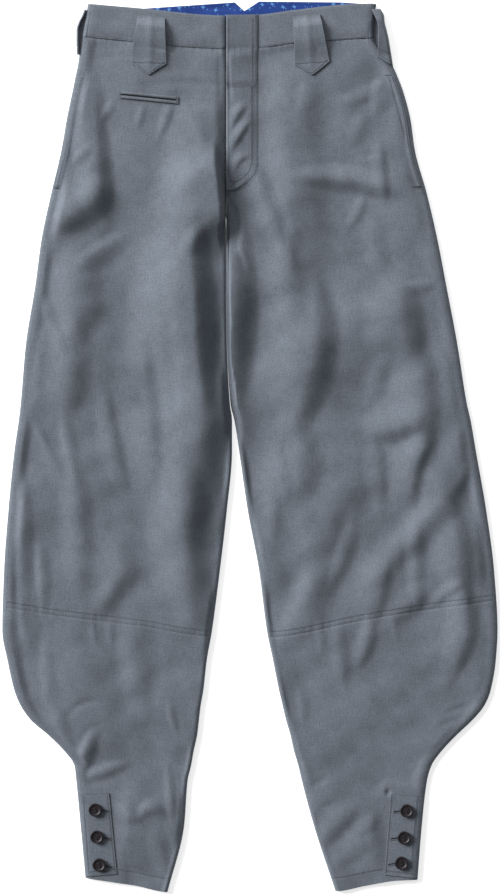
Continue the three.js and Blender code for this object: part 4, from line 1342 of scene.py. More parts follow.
@dataclass
class Panels:
    """The fronts and backs of the legs."""

    wall: float = 1.1
    step: float = 2.4
    back_step: float = 6.0
    press: float = 0.1  # how much of the fronts' folds the backs take
    press_most: float = 0.9
    pressed: float = 2.5  # least rise of the folds that they take
    knee_row: float = 6.0
    hem_row: float = 15.5
    hem_right: Place = (-150.5, -92.0)  # ends of the sewn row above the hem
    hem_left: Place = (96.0, 153.5)
    left_pocket_row: Points = (
        (160.4, 423.7), (166.8, 398.1), (173.1, 373.8), (181.8, 341.6), (191.5, 299.6)
    )
    right_pocket_row: Points = ((-213.6, 348.5), (-224.6, 297.2))

    def knee_stitch(self, leg: Leg) -> Points:
        """The sewn row above the knee seam."""
        ends = float(leg.outer_seam(np.array(-190.0))), float(leg.inner_seam(np.array(-205.0)))
        x = np.linspace(min(ends), max(ends), 24)
        return list(zip(x, knee_seam(x) + self.knee_row))

    def hem_stitch(self, leg: Leg) -> Points:
        """The sewn row above the hem, beside the ankle placket."""
        x = np.linspace(*(self.hem_right if leg.side is Side.RIGHT else self.hem_left), 9)
        return list(zip(x, hem(x) + self.hem_row))

    def front(
        self, tailor: Tailor, leg: Leg, top: Line, bottom: Line, down: Array, across: Array
    ) -> Array:
        """The outer face of a front between two seams.

        Args:
            tailor: What it works with.
            leg: The leg it belongs to.
            top: Y of its top seam.
            bottom: Y of its bottom seam.
            down: Rows from 0 to 1.
            across: Columns from 0 at the side seam to 1.

        Returns:
            A grid of points.
        """
        u, v = np.meshgrid(across, down)
        x, y = place_on(lambda at: lerp(*leg.front_edges(at), u), top, bottom, v)
        return np.stack([x, y, tailor.lie.front(leg, x, y)], -1)

    def roll(
        self, lie: Lie, edge: Array, outward: int, part: Array, turned: Array, inner: bool = False
    ) -> Array:
        """Points of a turned side edge, from the floor (part 0) up to the seam (part 1).

        Args:
            lie: Heights of the cloth.
            edge: X of the edge.
            outward: Which way the edge looks.
            part: How far round each point lies.
            turned: How far the edge is turned up, from 0 to 1.
            inner: Whether it is an inner edge.

        Returns:
            X and Z side by side.
        """
        deep, rounded = Leg.roll_deep, lie.edge_deep
        if inner:
            deep, rounded = Leg.inner_deep, lie.inner_edge_deep
        low = np.clip(part * 2, 0, 1) * np.pi / 2
        high = np.clip(part * 2 - 1, 0, 1) ** 2
        inside = np.where(part < 0.5, deep * (1 - np.sin(low)), deep * high)
        z = np.where(part < 0.5, lie.edge_middle * (1 - np.cos(low)), lie.edge(inside, rounded))
        flat = np.interp(part, (0, 0.5, 1), (deep, 0.2, 0.02))
        x = edge - outward * lerp(flat, inside, turned)
        return np.stack(np.broadcast_arrays(x, z * turned), -1)

    def back(self, tailor: Tailor, leg: Leg, top: Line, bottom: Line, down: Array) -> Array:
        """The outer face of a back, whose side edges turn up to the seams.

        Args:
            tailor: What it works with.
            leg: The leg it belongs to.
            top: Y of its top seam.
            bottom: Y of its bottom seam.
            down: Rows from 0 to 1.

        Returns:
            A grid of points.
        """
        roll = np.linspace(0, 1, ROLL)
        floor = np.linspace(0, 1, 34)[1:-1]
        outer, inner = roll[::-1][None, :], roll[None, :]

        def section(y: Array) -> Array:
            """X and Z of a whole row of stations at their own Y."""
            a, b, c = y[:, :ROLL], y[:, ROLL:-ROLL], y[:, -ROLL:]
            one = np.ones(1)
            start = self.roll(tailor.lie, leg.outer(a), -leg.inward, outer, one)
            end = self.roll(tailor.lie, leg.inner(c), leg.inward, inner, leg.turned(c), True)
            from_x = leg.outer(b) + leg.inward * leg.roll_deep
            to_x = leg.inner(b) - leg.inward * leg.inner_deep
            x = lerp(from_x, to_x, floor[None, :])
            ease = np.minimum(1, 6 * np.minimum(floor, 1 - floor))[None, :]
            folds = sum(fold.height(x, b) for fold in leg.folds if fold.rise > self.pressed)
            z = np.minimum(self.press * folds, self.press_most) * ease
            return np.concatenate([start, np.stack(np.broadcast_arrays(x, z), -1), end], 1)

        v = down[:, None] + np.zeros((1, 2 * ROLL + floor.size))
        x, y = place_on(lambda at: section(at)[..., 0], top, bottom, v)
        z = section(y)[..., 1]
        return np.stack([x, y, z], -1)

    def make(self, tailor: Tailor, on_fronts: dict[Side, list[str]]) -> None:
        """Makes the eight panels.

        Args:
            tailor: What it works with.
            on_fronts: Names of the pieces sewn on each upper front.
        """
        across = spaced(215, self.step, (0.8, 1.7, 2.8, 4.2, 6.0))
        waist, waist_back = shifted(waist_seam, -HALF_SEAM), shifted(back_seam, -HALF_SEAM)
        over_knee, under_knee = shifted(knee_seam, HALF_SEAM), shifted(knee_seam, -HALF_SEAM)
        for leg in tailor.legs:
            right = leg.side is Side.RIGHT
            # painted shadow in the small pocket's slit and along the centre line beside the fly
            sewn = Sewn(
                first=[self.knee_stitch(leg)],
                second=[self.right_pocket_row if right else self.left_pocket_row],
                shadow_slits=[SmallPocket().line(), [(CENTRE_SHADE, 470), (CENTRE_SHADE, 262)]] if right else [],
            )
            hem_sewn = Sewn(first=[self.hem_stitch(leg)])
            side, trims = leg.side.value, on_fronts[leg.side]
            for part, top, low, long in (
                ("upper", waist_back, over_knee, 650), ("calf", under_knee, hem, 300)
            ):
                grid = self.back(tailor, leg, top, low, spaced(long, self.back_step))
                sheet = Sheet(f"back_{side}_{part}_cloth", grid, self.wall, -1)
                tailor.lay(sheet, f"back_{side}_{part}")
            for part, top, low, long, marks, pieces in (
                ("upper", waist, over_knee, 650, sewn, trims),
                ("calf", under_knee, hem, 300, hem_sewn, ()),
            ):
                grid = self.front(tailor, leg, top, low, spaced(long, self.step), across)
                sheet = Sheet(f"front_{side}_{part}_cloth", grid, self.wall, sewn=marks)
                tailor.lay(sheet, f"front_{side}_{part}")


@dataclass
class Waistband:
    """The waistband: a length on each front, one round the back, and its blue lining."""

    wall: float = 1.8
    lining_wall: float = 0.8
    lining_right: float = -145.0
    lining_left: float = 124.0
    lining_high: float = 3.3
    crease_at: Place = (-35, 503.7)  # middle of the crease in the lining
    crease_slope: float = 0.075
    crease_deep: float = 1.1

    def __post_init__(self) -> None:
        """Draws the unevenness of the band."""
        self.ripples = Ripples(19, 24, 70)

    def make_fronts(self, tailor: Tailor) -> None:
        """Makes the two front lengths."""
        u, v = np.meshgrid(
            spaced(165, 2.4, (0.6, 1.4, 2.4, 3.8)), spaced(38, 1.8, (0.4, 0.9, 1.6))
        )
        for leg in tailor.legs:
            side = leg.side.value
            centre = CENTRE - leg.inward * (CENTRE_SPACE + leg.centre_gap)
            x, y = place_on(
                lambda at: lerp(leg.front_edges(at)[0], centre, u),
                front_top, shifted(waist_seam, HALF_SEAM), v,
            )
            uneven = 0.22 * self.ripples(x, y) - 0.5 * bell(front_top(x) - y, 1.2)
            z = tailor.dressed(leg.side)(x, y) + uneven
            right = leg.side is Side.RIGHT
            # painted shadow line at the centre of the right length, beside the fly
            sewn = Sewn(shadow_slits=[[(CENTRE_SHADE, 520), (CENTRE_SHADE, 450)]] if right else [])
            sheet = Sheet(
                f"waistband_front_{side}_cloth", np.stack([x, y, z], -1), self.wall, bevel=0.25, sewn=sewn
            )
            tailor.lay(sheet, f"waistband_front_{side}")

    def make_back(self, tailor: Tailor, panels: Panels) -> None:
        """Makes the back length, whose ends turn up to the side seams.

        Args:
            tailor: What it works with.
            panels: The panels, whose turned edges it continues.
        """
        roll = np.linspace(0, 1, ROLL)
        corners = [row[0] for row in BACK_TOP[1:-1]]
        flat_x = np.unique(np.concatenate([corners, [CENTRE], np.linspace(-180, 132, 53)]))
        right, left = tailor.legs

        def section(y: Array) -> Array:
            """X and Z of a whole row of stations."""
            a, c = y[:, :ROLL], y[:, -ROLL:]
            one = np.ones(1)
            start = panels.roll(tailor.lie, right.outer(a), -1, roll[::-1][None, :], one)
            end = panels.roll(tailor.lie, left.outer(c), 1, roll[None, :], one)
            start[..., 1] += tailor.lie.band_lift * roll[::-1]
            end[..., 1] += tailor.lie.band_lift * roll
            flat = np.stack(np.broadcast_arrays(flat_x, 0 * y[:, :1]), -1)
            return np.concatenate([start, flat, end], 1)

        v = spaced(42, 3.0, (0.6, 1.6))[:, None] + np.zeros((1, 2 * ROLL + flat_x.size))
        seam = shifted(back_seam, HALF_SEAM)
        x, y = place_on(lambda at: section(at)[..., 0], back_top, seam, v)
        grid = np.stack([x, y, section(y)[..., 1]], -1)
        tailor.lay(Sheet("waistband_back_cloth", grid, self.wall, -1, bevel=0.3), "waistband_back")

    def make_lining(self, tailor: Tailor) -> None:
        """Makes the lining of the back length, which shows in the waist opening."""
        corners = [row[0] for row in BACK_TOP[1:-1]]
        even = np.linspace(self.lining_right, self.lining_left, 118)
        x, v = np.meshgrid(np.unique(np.concatenate([corners, even])), spaced(40, 2.4, (0.4, 1.0)))
        y = lerp(back_top(x) - 0.8, back_seam(x) + 0.4, v)
        from_crease = x - self.crease_at[0]
        across_crease = y - self.crease_at[1] - from_crease * self.crease_slope
        crease = self.crease_deep * bell(across_crease, 1.6) * smooth((22 - np.abs(from_crease)) / 8)
        z = self.lining_high + np.clip(0.3 * self.ripples(x, y), -0.3, 0.5) - crease
        grid = np.stack([x, y, z], -1)
        sheet = Sheet("waistband_lining_cloth", grid, self.lining_wall, bevel=0.25)
        tailor.lay(sheet, "waistband_back_lining", Slot.LINING)


@dataclass
class Fly:
    """The fly: a strip down the centre that lies on the left front, with its foot curved in."""

    wide_x: float = 10.0
    square: float = 323.0
    foot: float = 293.0
    foot_wide: float = 9.0
    wall: float = 1.1
    lift: float = 0.12
    raised_above: float = 414.0
    fade: float = 10.0  # distance over which its edge thins out
    fade_above: float = 3.0  # the same above that height
    tilt: float = 3.0  # how much higher it stands at the centre, above that

    def edge(self, y: Array) -> Array:
        """X of the edge away from the centre."""
        t = np.clip((y - self.foot) / (self.square - self.foot), 0, 1)
        return lerp(CENTRE + CENTRE_SPACE + self.foot_wide, self.wide_x, np.sqrt(1 - (1 - t) ** 2))

    def face(self, tailor: Tailor) -> Height:
        """The outer face."""
        def height(x: Array, y: Array) -> Array:
            upper = fade(y, self.raised_above - 5, self.raised_above + 5)
            level = smooth((self.edge(y) - x) / lerp(self.fade, self.fade_above, upper))
            tilt = self.tilt * upper * np.clip((self.wide_x - x) / (self.wide_x - CENTRE), 0, 1)
            return tailor.dressed(Side.LEFT)(x, y) + self.lift + self.wall * level + tilt
        return height

    def rows(self) -> tuple[list[Points], list[Points]]:
        """The sewn rows, the outer ones first."""
        outer = [(9.3, 413), (9.3, 323), (6.3, 311.6), (-2.9, 301.3), (-17.1, 293.6)]
        inner = [(3.45, 413), (3.45, 325.5), (0, 315), (-7.5, 307), (-19, 300.7)]
        return [outer, [(-23.6, 490), (-23.6, 308)]], [inner, [(4.2, 491), (4.2, 417)]]

    def make(self, tailor: Tailor) -> None:
        """Makes the strip."""
        denser_below = 1 - (1 - np.linspace(0, 1, 112)) ** 1.25
        u, v = np.meshgrid(np.linspace(0, 1, 23), denser_below)
        y = lerp(front_top(lerp(CENTRE, self.wide_x, u)), self.foot, v)
        x = lerp(CENTRE + CENTRE_SPACE, self.edge(y), u)
        z = self.face(tailor)(x, y) - 0.5 * bell(x - CENTRE - CENTRE_SPACE, 1.0)
        grid = np.stack([x, y, z], -1)
        sheet = Sheet("fly_cloth", grid, self.wall, bevel=0.3, sewn=Sewn(*self.rows()))
        tailor.lay(sheet, "fly_placket")


@dataclass
class FrontLoop:
    """A belt loop of the front: a wide strap with a pointed foot, sewn at both ends."""

    side: Side
    top_in: Place
    top_out: Place
    low_in: Place
    low_out: Place
    tip: Place
    wall: float = 1.5
    stand: float = 5.6
    ease: float = 14.0
    ease_low: float = 30.0
    ridge: float = 0.8
    seat: float = 0.3
    wide: float = 38.0
    long: float = 68.0

    def place(self, u: Array, v: Array) -> tuple[Array, Array]:
        """X and Y of a place across (u) and down (v) the strap."""
        top_x, top_y = (lerp(self.top_out[k], self.top_in[k], u) for k in (0, 1))
        low_x, low_y = (lerp(self.low_out[k], self.low_in[k], u) for k in (0, 1))
        foot = low_y - (1 - np.abs(2 * u - 1)) * (low_y - self.tip[1])
        return lerp(top_x, low_x, v), lerp(top_y, foot, v)

    def height(self, tailor: Tailor, u: Array, v: Array) -> Array:
        """Height of its outer face."""
        x, y = self.place(u, v)
        top_y = lerp(self.top_out[1], self.top_in[1], u)
        low_y = lerp(self.low_out[1], self.low_in[1], u)
        seat = np.maximum(tailor.dressed(self.side)(x, y), tailor.lie.roll_high + tailor.lie.band_lift)
        stand = self.stand * smooth((top_y - y) / self.ease) * smooth((y - low_y) / self.ease_low)
        ridge = self.ridge * bell(u - 0.5, 0.13) * (1 - smooth((v - 0.75) / 0.2))
        return seat + self.seat + self.wall + stand * (0.9 + 0.1 * np.sin(np.pi * u)) + ridge

    def rows(self) -> tuple[list[Points], list[Points]]:
        """Places across and down the strap of its sewn rows: across the foot, and the point."""
        across = [(0.03, 0.975), (0.5, 0.79), (0.97, 0.975)]
        point = [(0.05, 0.955), (0.5, 0.975), (0.95, 0.955)]
        return [across], [point]

    def make(self, tailor: Tailor) -> None:
        """Makes the loop."""
        u, v = np.meshgrid(*(spaced(size, 1.7, (0.5, 1.2)) for size in (self.wide, self.long)))
        grid = np.stack([*self.place(u, v), self.height(tailor, u, v)], -1)
        sewn = Sewn(*([self.scaled(row) for row in rows] for rows in self.rows()))
        marks = np.stack([u * self.wide, v * self.long], -1)
        name = f"belt_loop_front_{self.side.value}"
        sheet = Sheet(f"{name}_cloth", grid, self.wall, bevel=0.45, sewn=sewn, marks=marks)
        tailor.lay(sheet, name)

    def scaled(self, row: Points) -> Points:
        """A row in the millimetres of the strap's marks."""
        return [(u * self.wide, v * self.long) for u, v in row]


@dataclass
class SideLoop:
    """A belt loop folded round a side edge of the band, standing off it."""

    side: Side
    strap: tuple[tuple[float, float, float, float], ...]  # Y, front edge, outermost line, height
    corner: float
    tip: float
    top: float = 501.0
    wall: float = 1.5
    bend: float = 4.5
    bend_share: float = 0.8
    middle: float = 3.5
    fall: float = 0.25
    flat_high: float = 9.4
    low: float = 0.2
    clear: float = 0.05
    point: float = 0.75
    wide: float = 14.0  # of the strap, for its sewn rows
    long: float = 60.0

    def make(self, tailor: Tailor) -> None:
        """Makes the loop."""
        leg = tailor.leg(self.side)
        flat, turn, under = np.linspace(0, 1, 9), np.linspace(0, 1, 8)[1:], 3
        shares = np.concatenate([self.point * flat, lerp(self.point, 1, turn), np.ones(under)])
        to_point, v = np.meshgrid(shares, np.linspace(0, 1, 34))
        y = lerp(self.top, lerp(self.corner, self.tip, to_point), v)
        front, limit, high = (Curve(self.strap, up)(y) for up in (1, 2, 3))
        near, far = (leg.inward * (leg.outer(y) - x) for x in (front, limit))
        radius = np.minimum(self.bend, self.bend_share * (far - near))
        drop = self.fall * np.maximum(0, high - self.flat_high)
        angle = turn[None, :] * np.pi / 2
        a, b = slice(0, flat.size), slice(flat.size, flat.size + turn.size)
        out, z = np.empty_like(y), np.empty_like(y)
        out[:, a] = lerp(near[:, a], (far - radius)[:, a], flat[None, :])
        z[:, a] = (high - drop)[:, a] + drop[:, a] * (1 - flat[None, :])
        out[:, b] = (far - radius)[:, b] + radius[:, b] * np.sin(angle)
        z[:, b] = self.middle + (high - drop - self.middle)[:, b] * np.cos(angle)
        out[:, -3], z[:, -3] = far[:, -3], self.low + self.wall / 2
        out[:, -2], z[:, -2] = far[:, -2] - self.wall * 0.8, self.low
        out[:, -1] = np.minimum(self.clear, out[:, -2] - 0.6)
        z[:, -1] = self.low
        x = leg.outer(y) - leg.inward * out
        name = f"belt_loop_side_{self.side.value}"
        marks = np.stack([to_point * self.wide, v * self.long], -1)
        # painted shade: the inner half of the right strap is darkened as if in deep shade
        shaded = range(10) if self.side is Side.RIGHT else ()
        sewn = Sewn(
            first=[[(0.5, 50.5), (13.0, 48.5)]],
            second=[[(0.5, 57.5), (13.0, 57.0)]],
            shadow_slits=[[(at, 0.0), (at, self.long)] for at in shaded],
        )
        grid = np.stack([x, y, z], -1)
        sheet = Sheet(f"{name}_cloth", grid, self.wall, bevel=0.4, sewn=sewn, marks=marks)
        tailor.lay(sheet, name)


@dataclass
class AnklePlacket:
    """The placket that closes a leg at the ankle, with a row of buttonholes."""

    side: Side
    out_top: Place
    in_top: Place
    out_low: Place
    in_low: Place
    side_row: Points
    buttons: tuple[Place, ...]
    hole_ends: tuple[Place, ...]
    wall: float = 0.8
    lift: float = 0.2
    bottom_row: float = 4.6

    def face(self, tailor: Tailor) -> Height:
        """The outer face."""
        def height(x: Array, y: Array) -> Array:
            return tailor.front(self.side)(x, y) + self.lift + self.wall
        return height

    def bottom(self) -> Points:
        """The sewn row above its lower edge."""
        (ax, ay), (bx, by) = self.out_low, self.in_low
        return [(lerp(ax, bx, t), lerp(ay, by, t) + self.bottom_row) for t in (0.08, 0.95)]

    def inner_row(self) -> Points:
        """The sewn row inside its inner edge."""
        way = -1 if self.side is Side.RIGHT else 1
        (ax, ay), (bx, by) = self.in_top, self.in_low
        return [(ax + way * 1.8, ay - 2), (bx + way * 1.8, by + 2)]

    def make(self, tailor: Tailor) -> None:
        """Makes the placket."""
        leg = tailor.leg(self.side)
        u, v = np.meshgrid(*(spaced(size, 1.1, (0.4, 0.9)) for size in (36, 94)))
        y = lerp(lerp(self.out_top[1], self.in_top[1], u), lerp(self.out_low[1], self.in_low[1], u), v)
        edge = leg.outer(y) + 1.2 * leg.inward
        outer = lerp(self.out_top[0], self.out_low[0], v)
        outer = np.maximum(edge, outer) if leg.inward > 0 else np.minimum(edge, outer)
        x = lerp(outer, lerp(self.in_top[0], self.in_low[0], v), u)
        z = self.face(tailor)(x, y)
        # painted shade line along the top edge, and painted shadow in the buttonholes
        top = [(ax, ay - 0.7) for ax, ay in (self.out_top, self.in_top)]
        holes = [[button, end] for button, end in zip(self.buttons, self.hole_ends)]
        grid = np.stack([x, y, z - 0.5 * bell(row_distance(x, y, holes), 1.1)], -1)
        sewn = Sewn([self.side_row, self.bottom()], [self.inner_row(), top], holes)
        name = f"ankle_placket_{self.side.value}"
        sheet = Sheet(f"{name}_cloth", grid, self.wall, bevel=0.2, sewn=sewn)
        tailor.lay(sheet, name)


@dataclass
class Button:
    """A round button with a raised rim, four holes and its thread."""

    radius: float = 7.5
    high: float = 3.0
    rim: float = 1.3
    dish: float = 1.0
    bevel: float = 0.55
    hole: float = 0.85
    pitch: float = 1.65
    seat: float = 9.1
    sides: int = 48
    # width of each step of the dish and its part of the depth
    dish_steps: tuple[Place, ...] = ((0.5, 0.55), (0.7, 0.35), (1.0, 0.1))

    def pick(self, piece: Piece, lowest: float, widest: float) -> None:
        """Selects the faces that look up, above a height and within a radius, in edit mode.

        Args:
            piece: The button.
            lowest: The least height of a face's middle.
            widest: The most distance of a face's middle from the axis.
        """
        bpy.ops.object.mode_set(mode="OBJECT")
        for parts in (piece.data.vertices, piece.data.edges):
            parts.foreach_set("select", [False] * len(parts))
        for face in piece.data.polygons:
            middle = face.center / MM
            inside = math.hypot(middle.x, middle.y) < widest and middle.z > lowest
            face.select = inside and face.normal.z > 0.9
        bpy.ops.object.mode_set(mode="EDIT")
        bpy.ops.mesh.select_mode(type="FACE")

    def model(self) -> Piece:
        """Models one button at the origin."""
        deselect()
        bpy.ops.mesh.primitive_cylinder_add(
            vertices=self.sides, radius=self.radius * MM, depth=self.high * MM,
            location=(0, 0, self.high / 2 * MM), end_fill_type="NGON",
        )
        piece = bpy.context.object
        piece.name = "button_pattern"
        bpy.ops.object.transform_apply(location=True)
        bpy.ops.object.mode_set(mode="EDIT")
        bpy.ops.mesh.select_mode(type="EDGE")
        bpy.ops.mesh.select_all(action="SELECT")
        bpy.ops.object.mode_set(mode="OBJECT")
        for edge in piece.data.edges:
            one, two = (piece.data.vertices[i].co.z for i in edge.vertices)
            edge.select = abs(one - two) < 1e-6
        bpy.ops.object.mode_set(mode="EDIT")
        bpy.ops.mesh.bevel(offset=self.bevel * MM, segments=3, affect="EDGES")
        self.pick(piece, lowest=self.high - 0.05, widest=1.0)
        bpy.ops.mesh.inset(thickness=(self.rim - self.bevel) * MM, depth=0)
        for wide, part in self.dish_steps:
            bpy.ops.mesh.inset(thickness=wide * MM, depth=-part * self.dish * MM)
        bpy.ops.object.mode_set(mode="OBJECT")
        deselect()
        cutters = []
        for sx, sy in ((1, 1), (-1, 1), (-1, -1), (1, -1)):
            bpy.ops.mesh.primitive_cylinder_add(
                vertices=16, radius=self.hole * MM, depth=self.high * 3 * MM,
                location=(sx * self.pitch * MM, sy * self.pitch * MM, 0),
            )
            cutters.append(bpy.context.object)
        for cutter in cutters:
            cutter.select_set(True)
        bpy.context.view_layer.objects.active = cutters[0]
        bpy.ops.object.join()
        holes = bpy.context.object
        bpy.ops.object.transform_apply(location=True)
        apply_modifier(piece, "BOOLEAN", object=holes, operation="DIFFERENCE", solver="EXACT")
        bpy.data.objects.remove(holes)
        smooth_shading(piece, 40)
        return piece

    def copy(
        self, pattern: Piece, name: str, x: float, y: float, turn: float
    ) -> Piece:
        """Copies the button to its place.

        Args:
            pattern: The button at the origin.
            name: Name of the copy.
            x: Its place.
            y: Its place.
            turn: How far it is turned, in radians.

        Returns:
            The copy, with its place in its mesh.
        """
        piece = link(name, pattern.data.copy())
        points = np.empty(len(piece.data.vertices) * 3)
        piece.data.vertices.foreach_get("co", points)
        points = points.reshape(-1, 3)
        cos, sin = math.cos(turn), math.sin(turn)
        turned = points @ np.array([[cos, sin, 0], [-sin, cos, 0], [0, 0, 1]])
        piece.data.vertices.foreach_set("co", (turned + np.array([x, y, self.seat]) * MM).ravel())
        piece.data.update()
        return piece

    def make(self, tailor: Tailor, plackets: Sequence[AnklePlacket]) -> None:
        """Makes every button with the thread in its holes.

        Args:
            tailor: What it works with.
            plackets: The plackets that carry the buttons.
        """
        pattern = self.model()
        for placket in plackets:
            for number, (x, y) in enumerate(placket.buttons, 1):
                name = f"button_{placket.side.value}_{number}"
                turn = 0.35 * math.sin(2.3 * number + (0 if placket.side is Side.RIGHT else 1.7))
                piece = self.copy(pattern, f"{name}_resin", x, y, turn)
                tailor.dress(piece, tailor.finishes.resin, Slot.BUTTON, name)
                thread = Seam(f"{name}_thread", radius=0.42)
                top = self.seat + self.high - self.dish + 0.1
                cos, sin = math.cos(turn), math.sin(turn)
                for way in (-1, 1):
                    ends = [(-self.pitch - 0.5, way * self.pitch), (self.pitch + 0.5, way * self.pitch)]
                    thread.between(
                        *(np.array([x + a * cos - b * sin, y + a * sin + b * cos, top]) for a, b in ends)
                    )
                tailor.dress(thread.build(), tailor.finishes.dark_thread, Slot.BUTTON)
        bpy.data.objects.remove(pattern)


# ---- sewing


class Seam:
    """Stitches of one seam or one kind, joined in one mesh."""

    sides = 6
    # for each ring of a stitch, its part of the length, of the radius and of the sinking
    rings = ((-0.5, 0.35, -0.7), (-0.28, 1, 0.1), (0.28, 1, 0.1), (0.5, 0.35, -0.7))
    lift = 0.05  # height of a row's middle above its face

    def __init__(self, name: str, pitch: float = 3.0, long: float = 2.3, radius: float = 0.26) -> None:
        """Starts with no stitches.

        Args:
            name: Name of the piece.
            pitch: Distance from one stitch to the next.
            long: Length of one stitch.
            radius: Half the thread's thickness.
        """
        self.name, self.pitch, self.long, self.radius = name, pitch, long, radius
        self.points: list[Array] = []
        self.faces: list[list[int]] = []

    def stitch(self, middle: Array, along: Array, long: float) -> None:
        """Adds one stitch.

        Args:
            middle: Its middle.
            along: Its direction.
            long: Its length.
        """
        along = along / (np.linalg.norm(along) or 1.0)
        across = np.cross([0, 0, 1.0], along)
        across /= np.linalg.norm(across) or 1.0
        up = np.cross(along, across)
        start = sum(len(points) for points in self.points)
        angles = np.linspace(0, 2 * np.pi, self.sides, endpoint=False)
        circle = np.cos(angles)[:, None] * across + np.sin(angles)[:, None] * up
        rings = [
            middle + along * (part * long) + up * (sink * self.radius) + circle * self.radius * size
            for part, size, sink in self.rings
        ]
        self.points.append(np.concatenate(rings))
        n = self.sides
        for ring in range(len(rings) - 1):
            for k in range(n):
                a, b = start + ring * n + k, start + ring * n + (k + 1) % n
                self.faces.append([a, b, b + n, a + n])
        self.faces.append([start + k for k in range(n)][::-1])
        self.faces.append([start + (len(rings) - 1) * n + k for k in range(n)])

    def between(self, a: Array, b: Array, part: float = 1.0) -> None:
        """Adds a stitch that takes up a part of the way between two points."""
        self.stitch((a + b) / 2, b - a, float(np.linalg.norm(b - a)) * part)

    def row(self, places: Points, height: Height) -> "Seam":
        """Adds a row of stitches that lies on a face.

        Args:
            places: Points of the row.
            height: The face it lies on.

        Returns:
            The seam itself.
        """
        flat = np.array(places, float)
        reach = np.append(0, np.linalg.norm(np.diff(flat, axis=0), axis=1).cumsum())
        count = max(1, round(reach[-1] / self.pitch))
        middles = (np.arange(count) + 0.5) / count * reach[-1]
        ends = []
        for way in (-1, 1):
            at = np.clip(middles + way * self.long / 2, 0, reach[-1])
            x, y = (np.interp(at, reach, flat[:, k]) for k in (0, 1))
            ends.append(np.column_stack([x, y, height(x, y) + self.lift]))
        for a, b in zip(*ends):
            self.between(a, b)
        return self

    def bar(self, ends: Sequence[Array], height: Height, lift: float) -> None:
        """Adds one long stitch between two places over a face."""
        self.between(*(np.array([*p, float(height(*np.array(p, float))) + lift]) for p in ends))

    def tack(self, one: Place, two: Place, wide: float, height: Height) -> "Seam":
        """Adds a bar tack: close stitches side by side across a line.

        Args:
            one: One end of the line.
            two: Its other end.
            wide: Length of the stitches.
            height: The face it lies on.

        Returns:
            The seam itself.
        """
        a, b = np.array(one, float), np.array(two, float)
        way = (b - a) / np.linalg.norm(b - a)
        side = np.array([-way[1], way[0]]) * wide / 2
        for t in np.linspace(0, 1, max(2, round(float(np.linalg.norm(b - a)) / 0.5))):
            p = a + (b - a) * t
            self.bar((p - side, p + side), height, 0.12)
        return self

    def purl(self, one: Place, two: Place, reach: float, height: Height) -> "Seam":
        """Adds a buttonhole's purled edge round the line from one end to the other.

        Args:
            one: One end of the slit.
            two: Its other end.
            reach: Distance from the slit to the outer ends of the stitches.
            height: The face it lies on.

        Returns:
            The seam itself.
        """
        a, b = np.array(one, float), np.array(two, float)
        long = float(np.linalg.norm(b - a))
        way = (b - a) / long
        side = np.array([-way[1], way[0]])
        spots = [(p, s * side) for s in (-1, 1) for p in (a + way * d for d in np.arange(0, long, 0.62))]
        angles = np.linspace(-np.pi / 2, np.pi / 2, 7)
        spots += [(b, way * math.cos(t) + side * math.sin(t)) for t in angles]
        for p, out in spots:
            self.bar((p + out * 0.55, p + out * reach), height, 0.1)
        return self

    def build(self) -> Piece:
        """Makes the mesh."""
        piece = new_object(self.name, np.concatenate(self.points), self.faces)
        smooth_shading(piece, 60)
        return piece


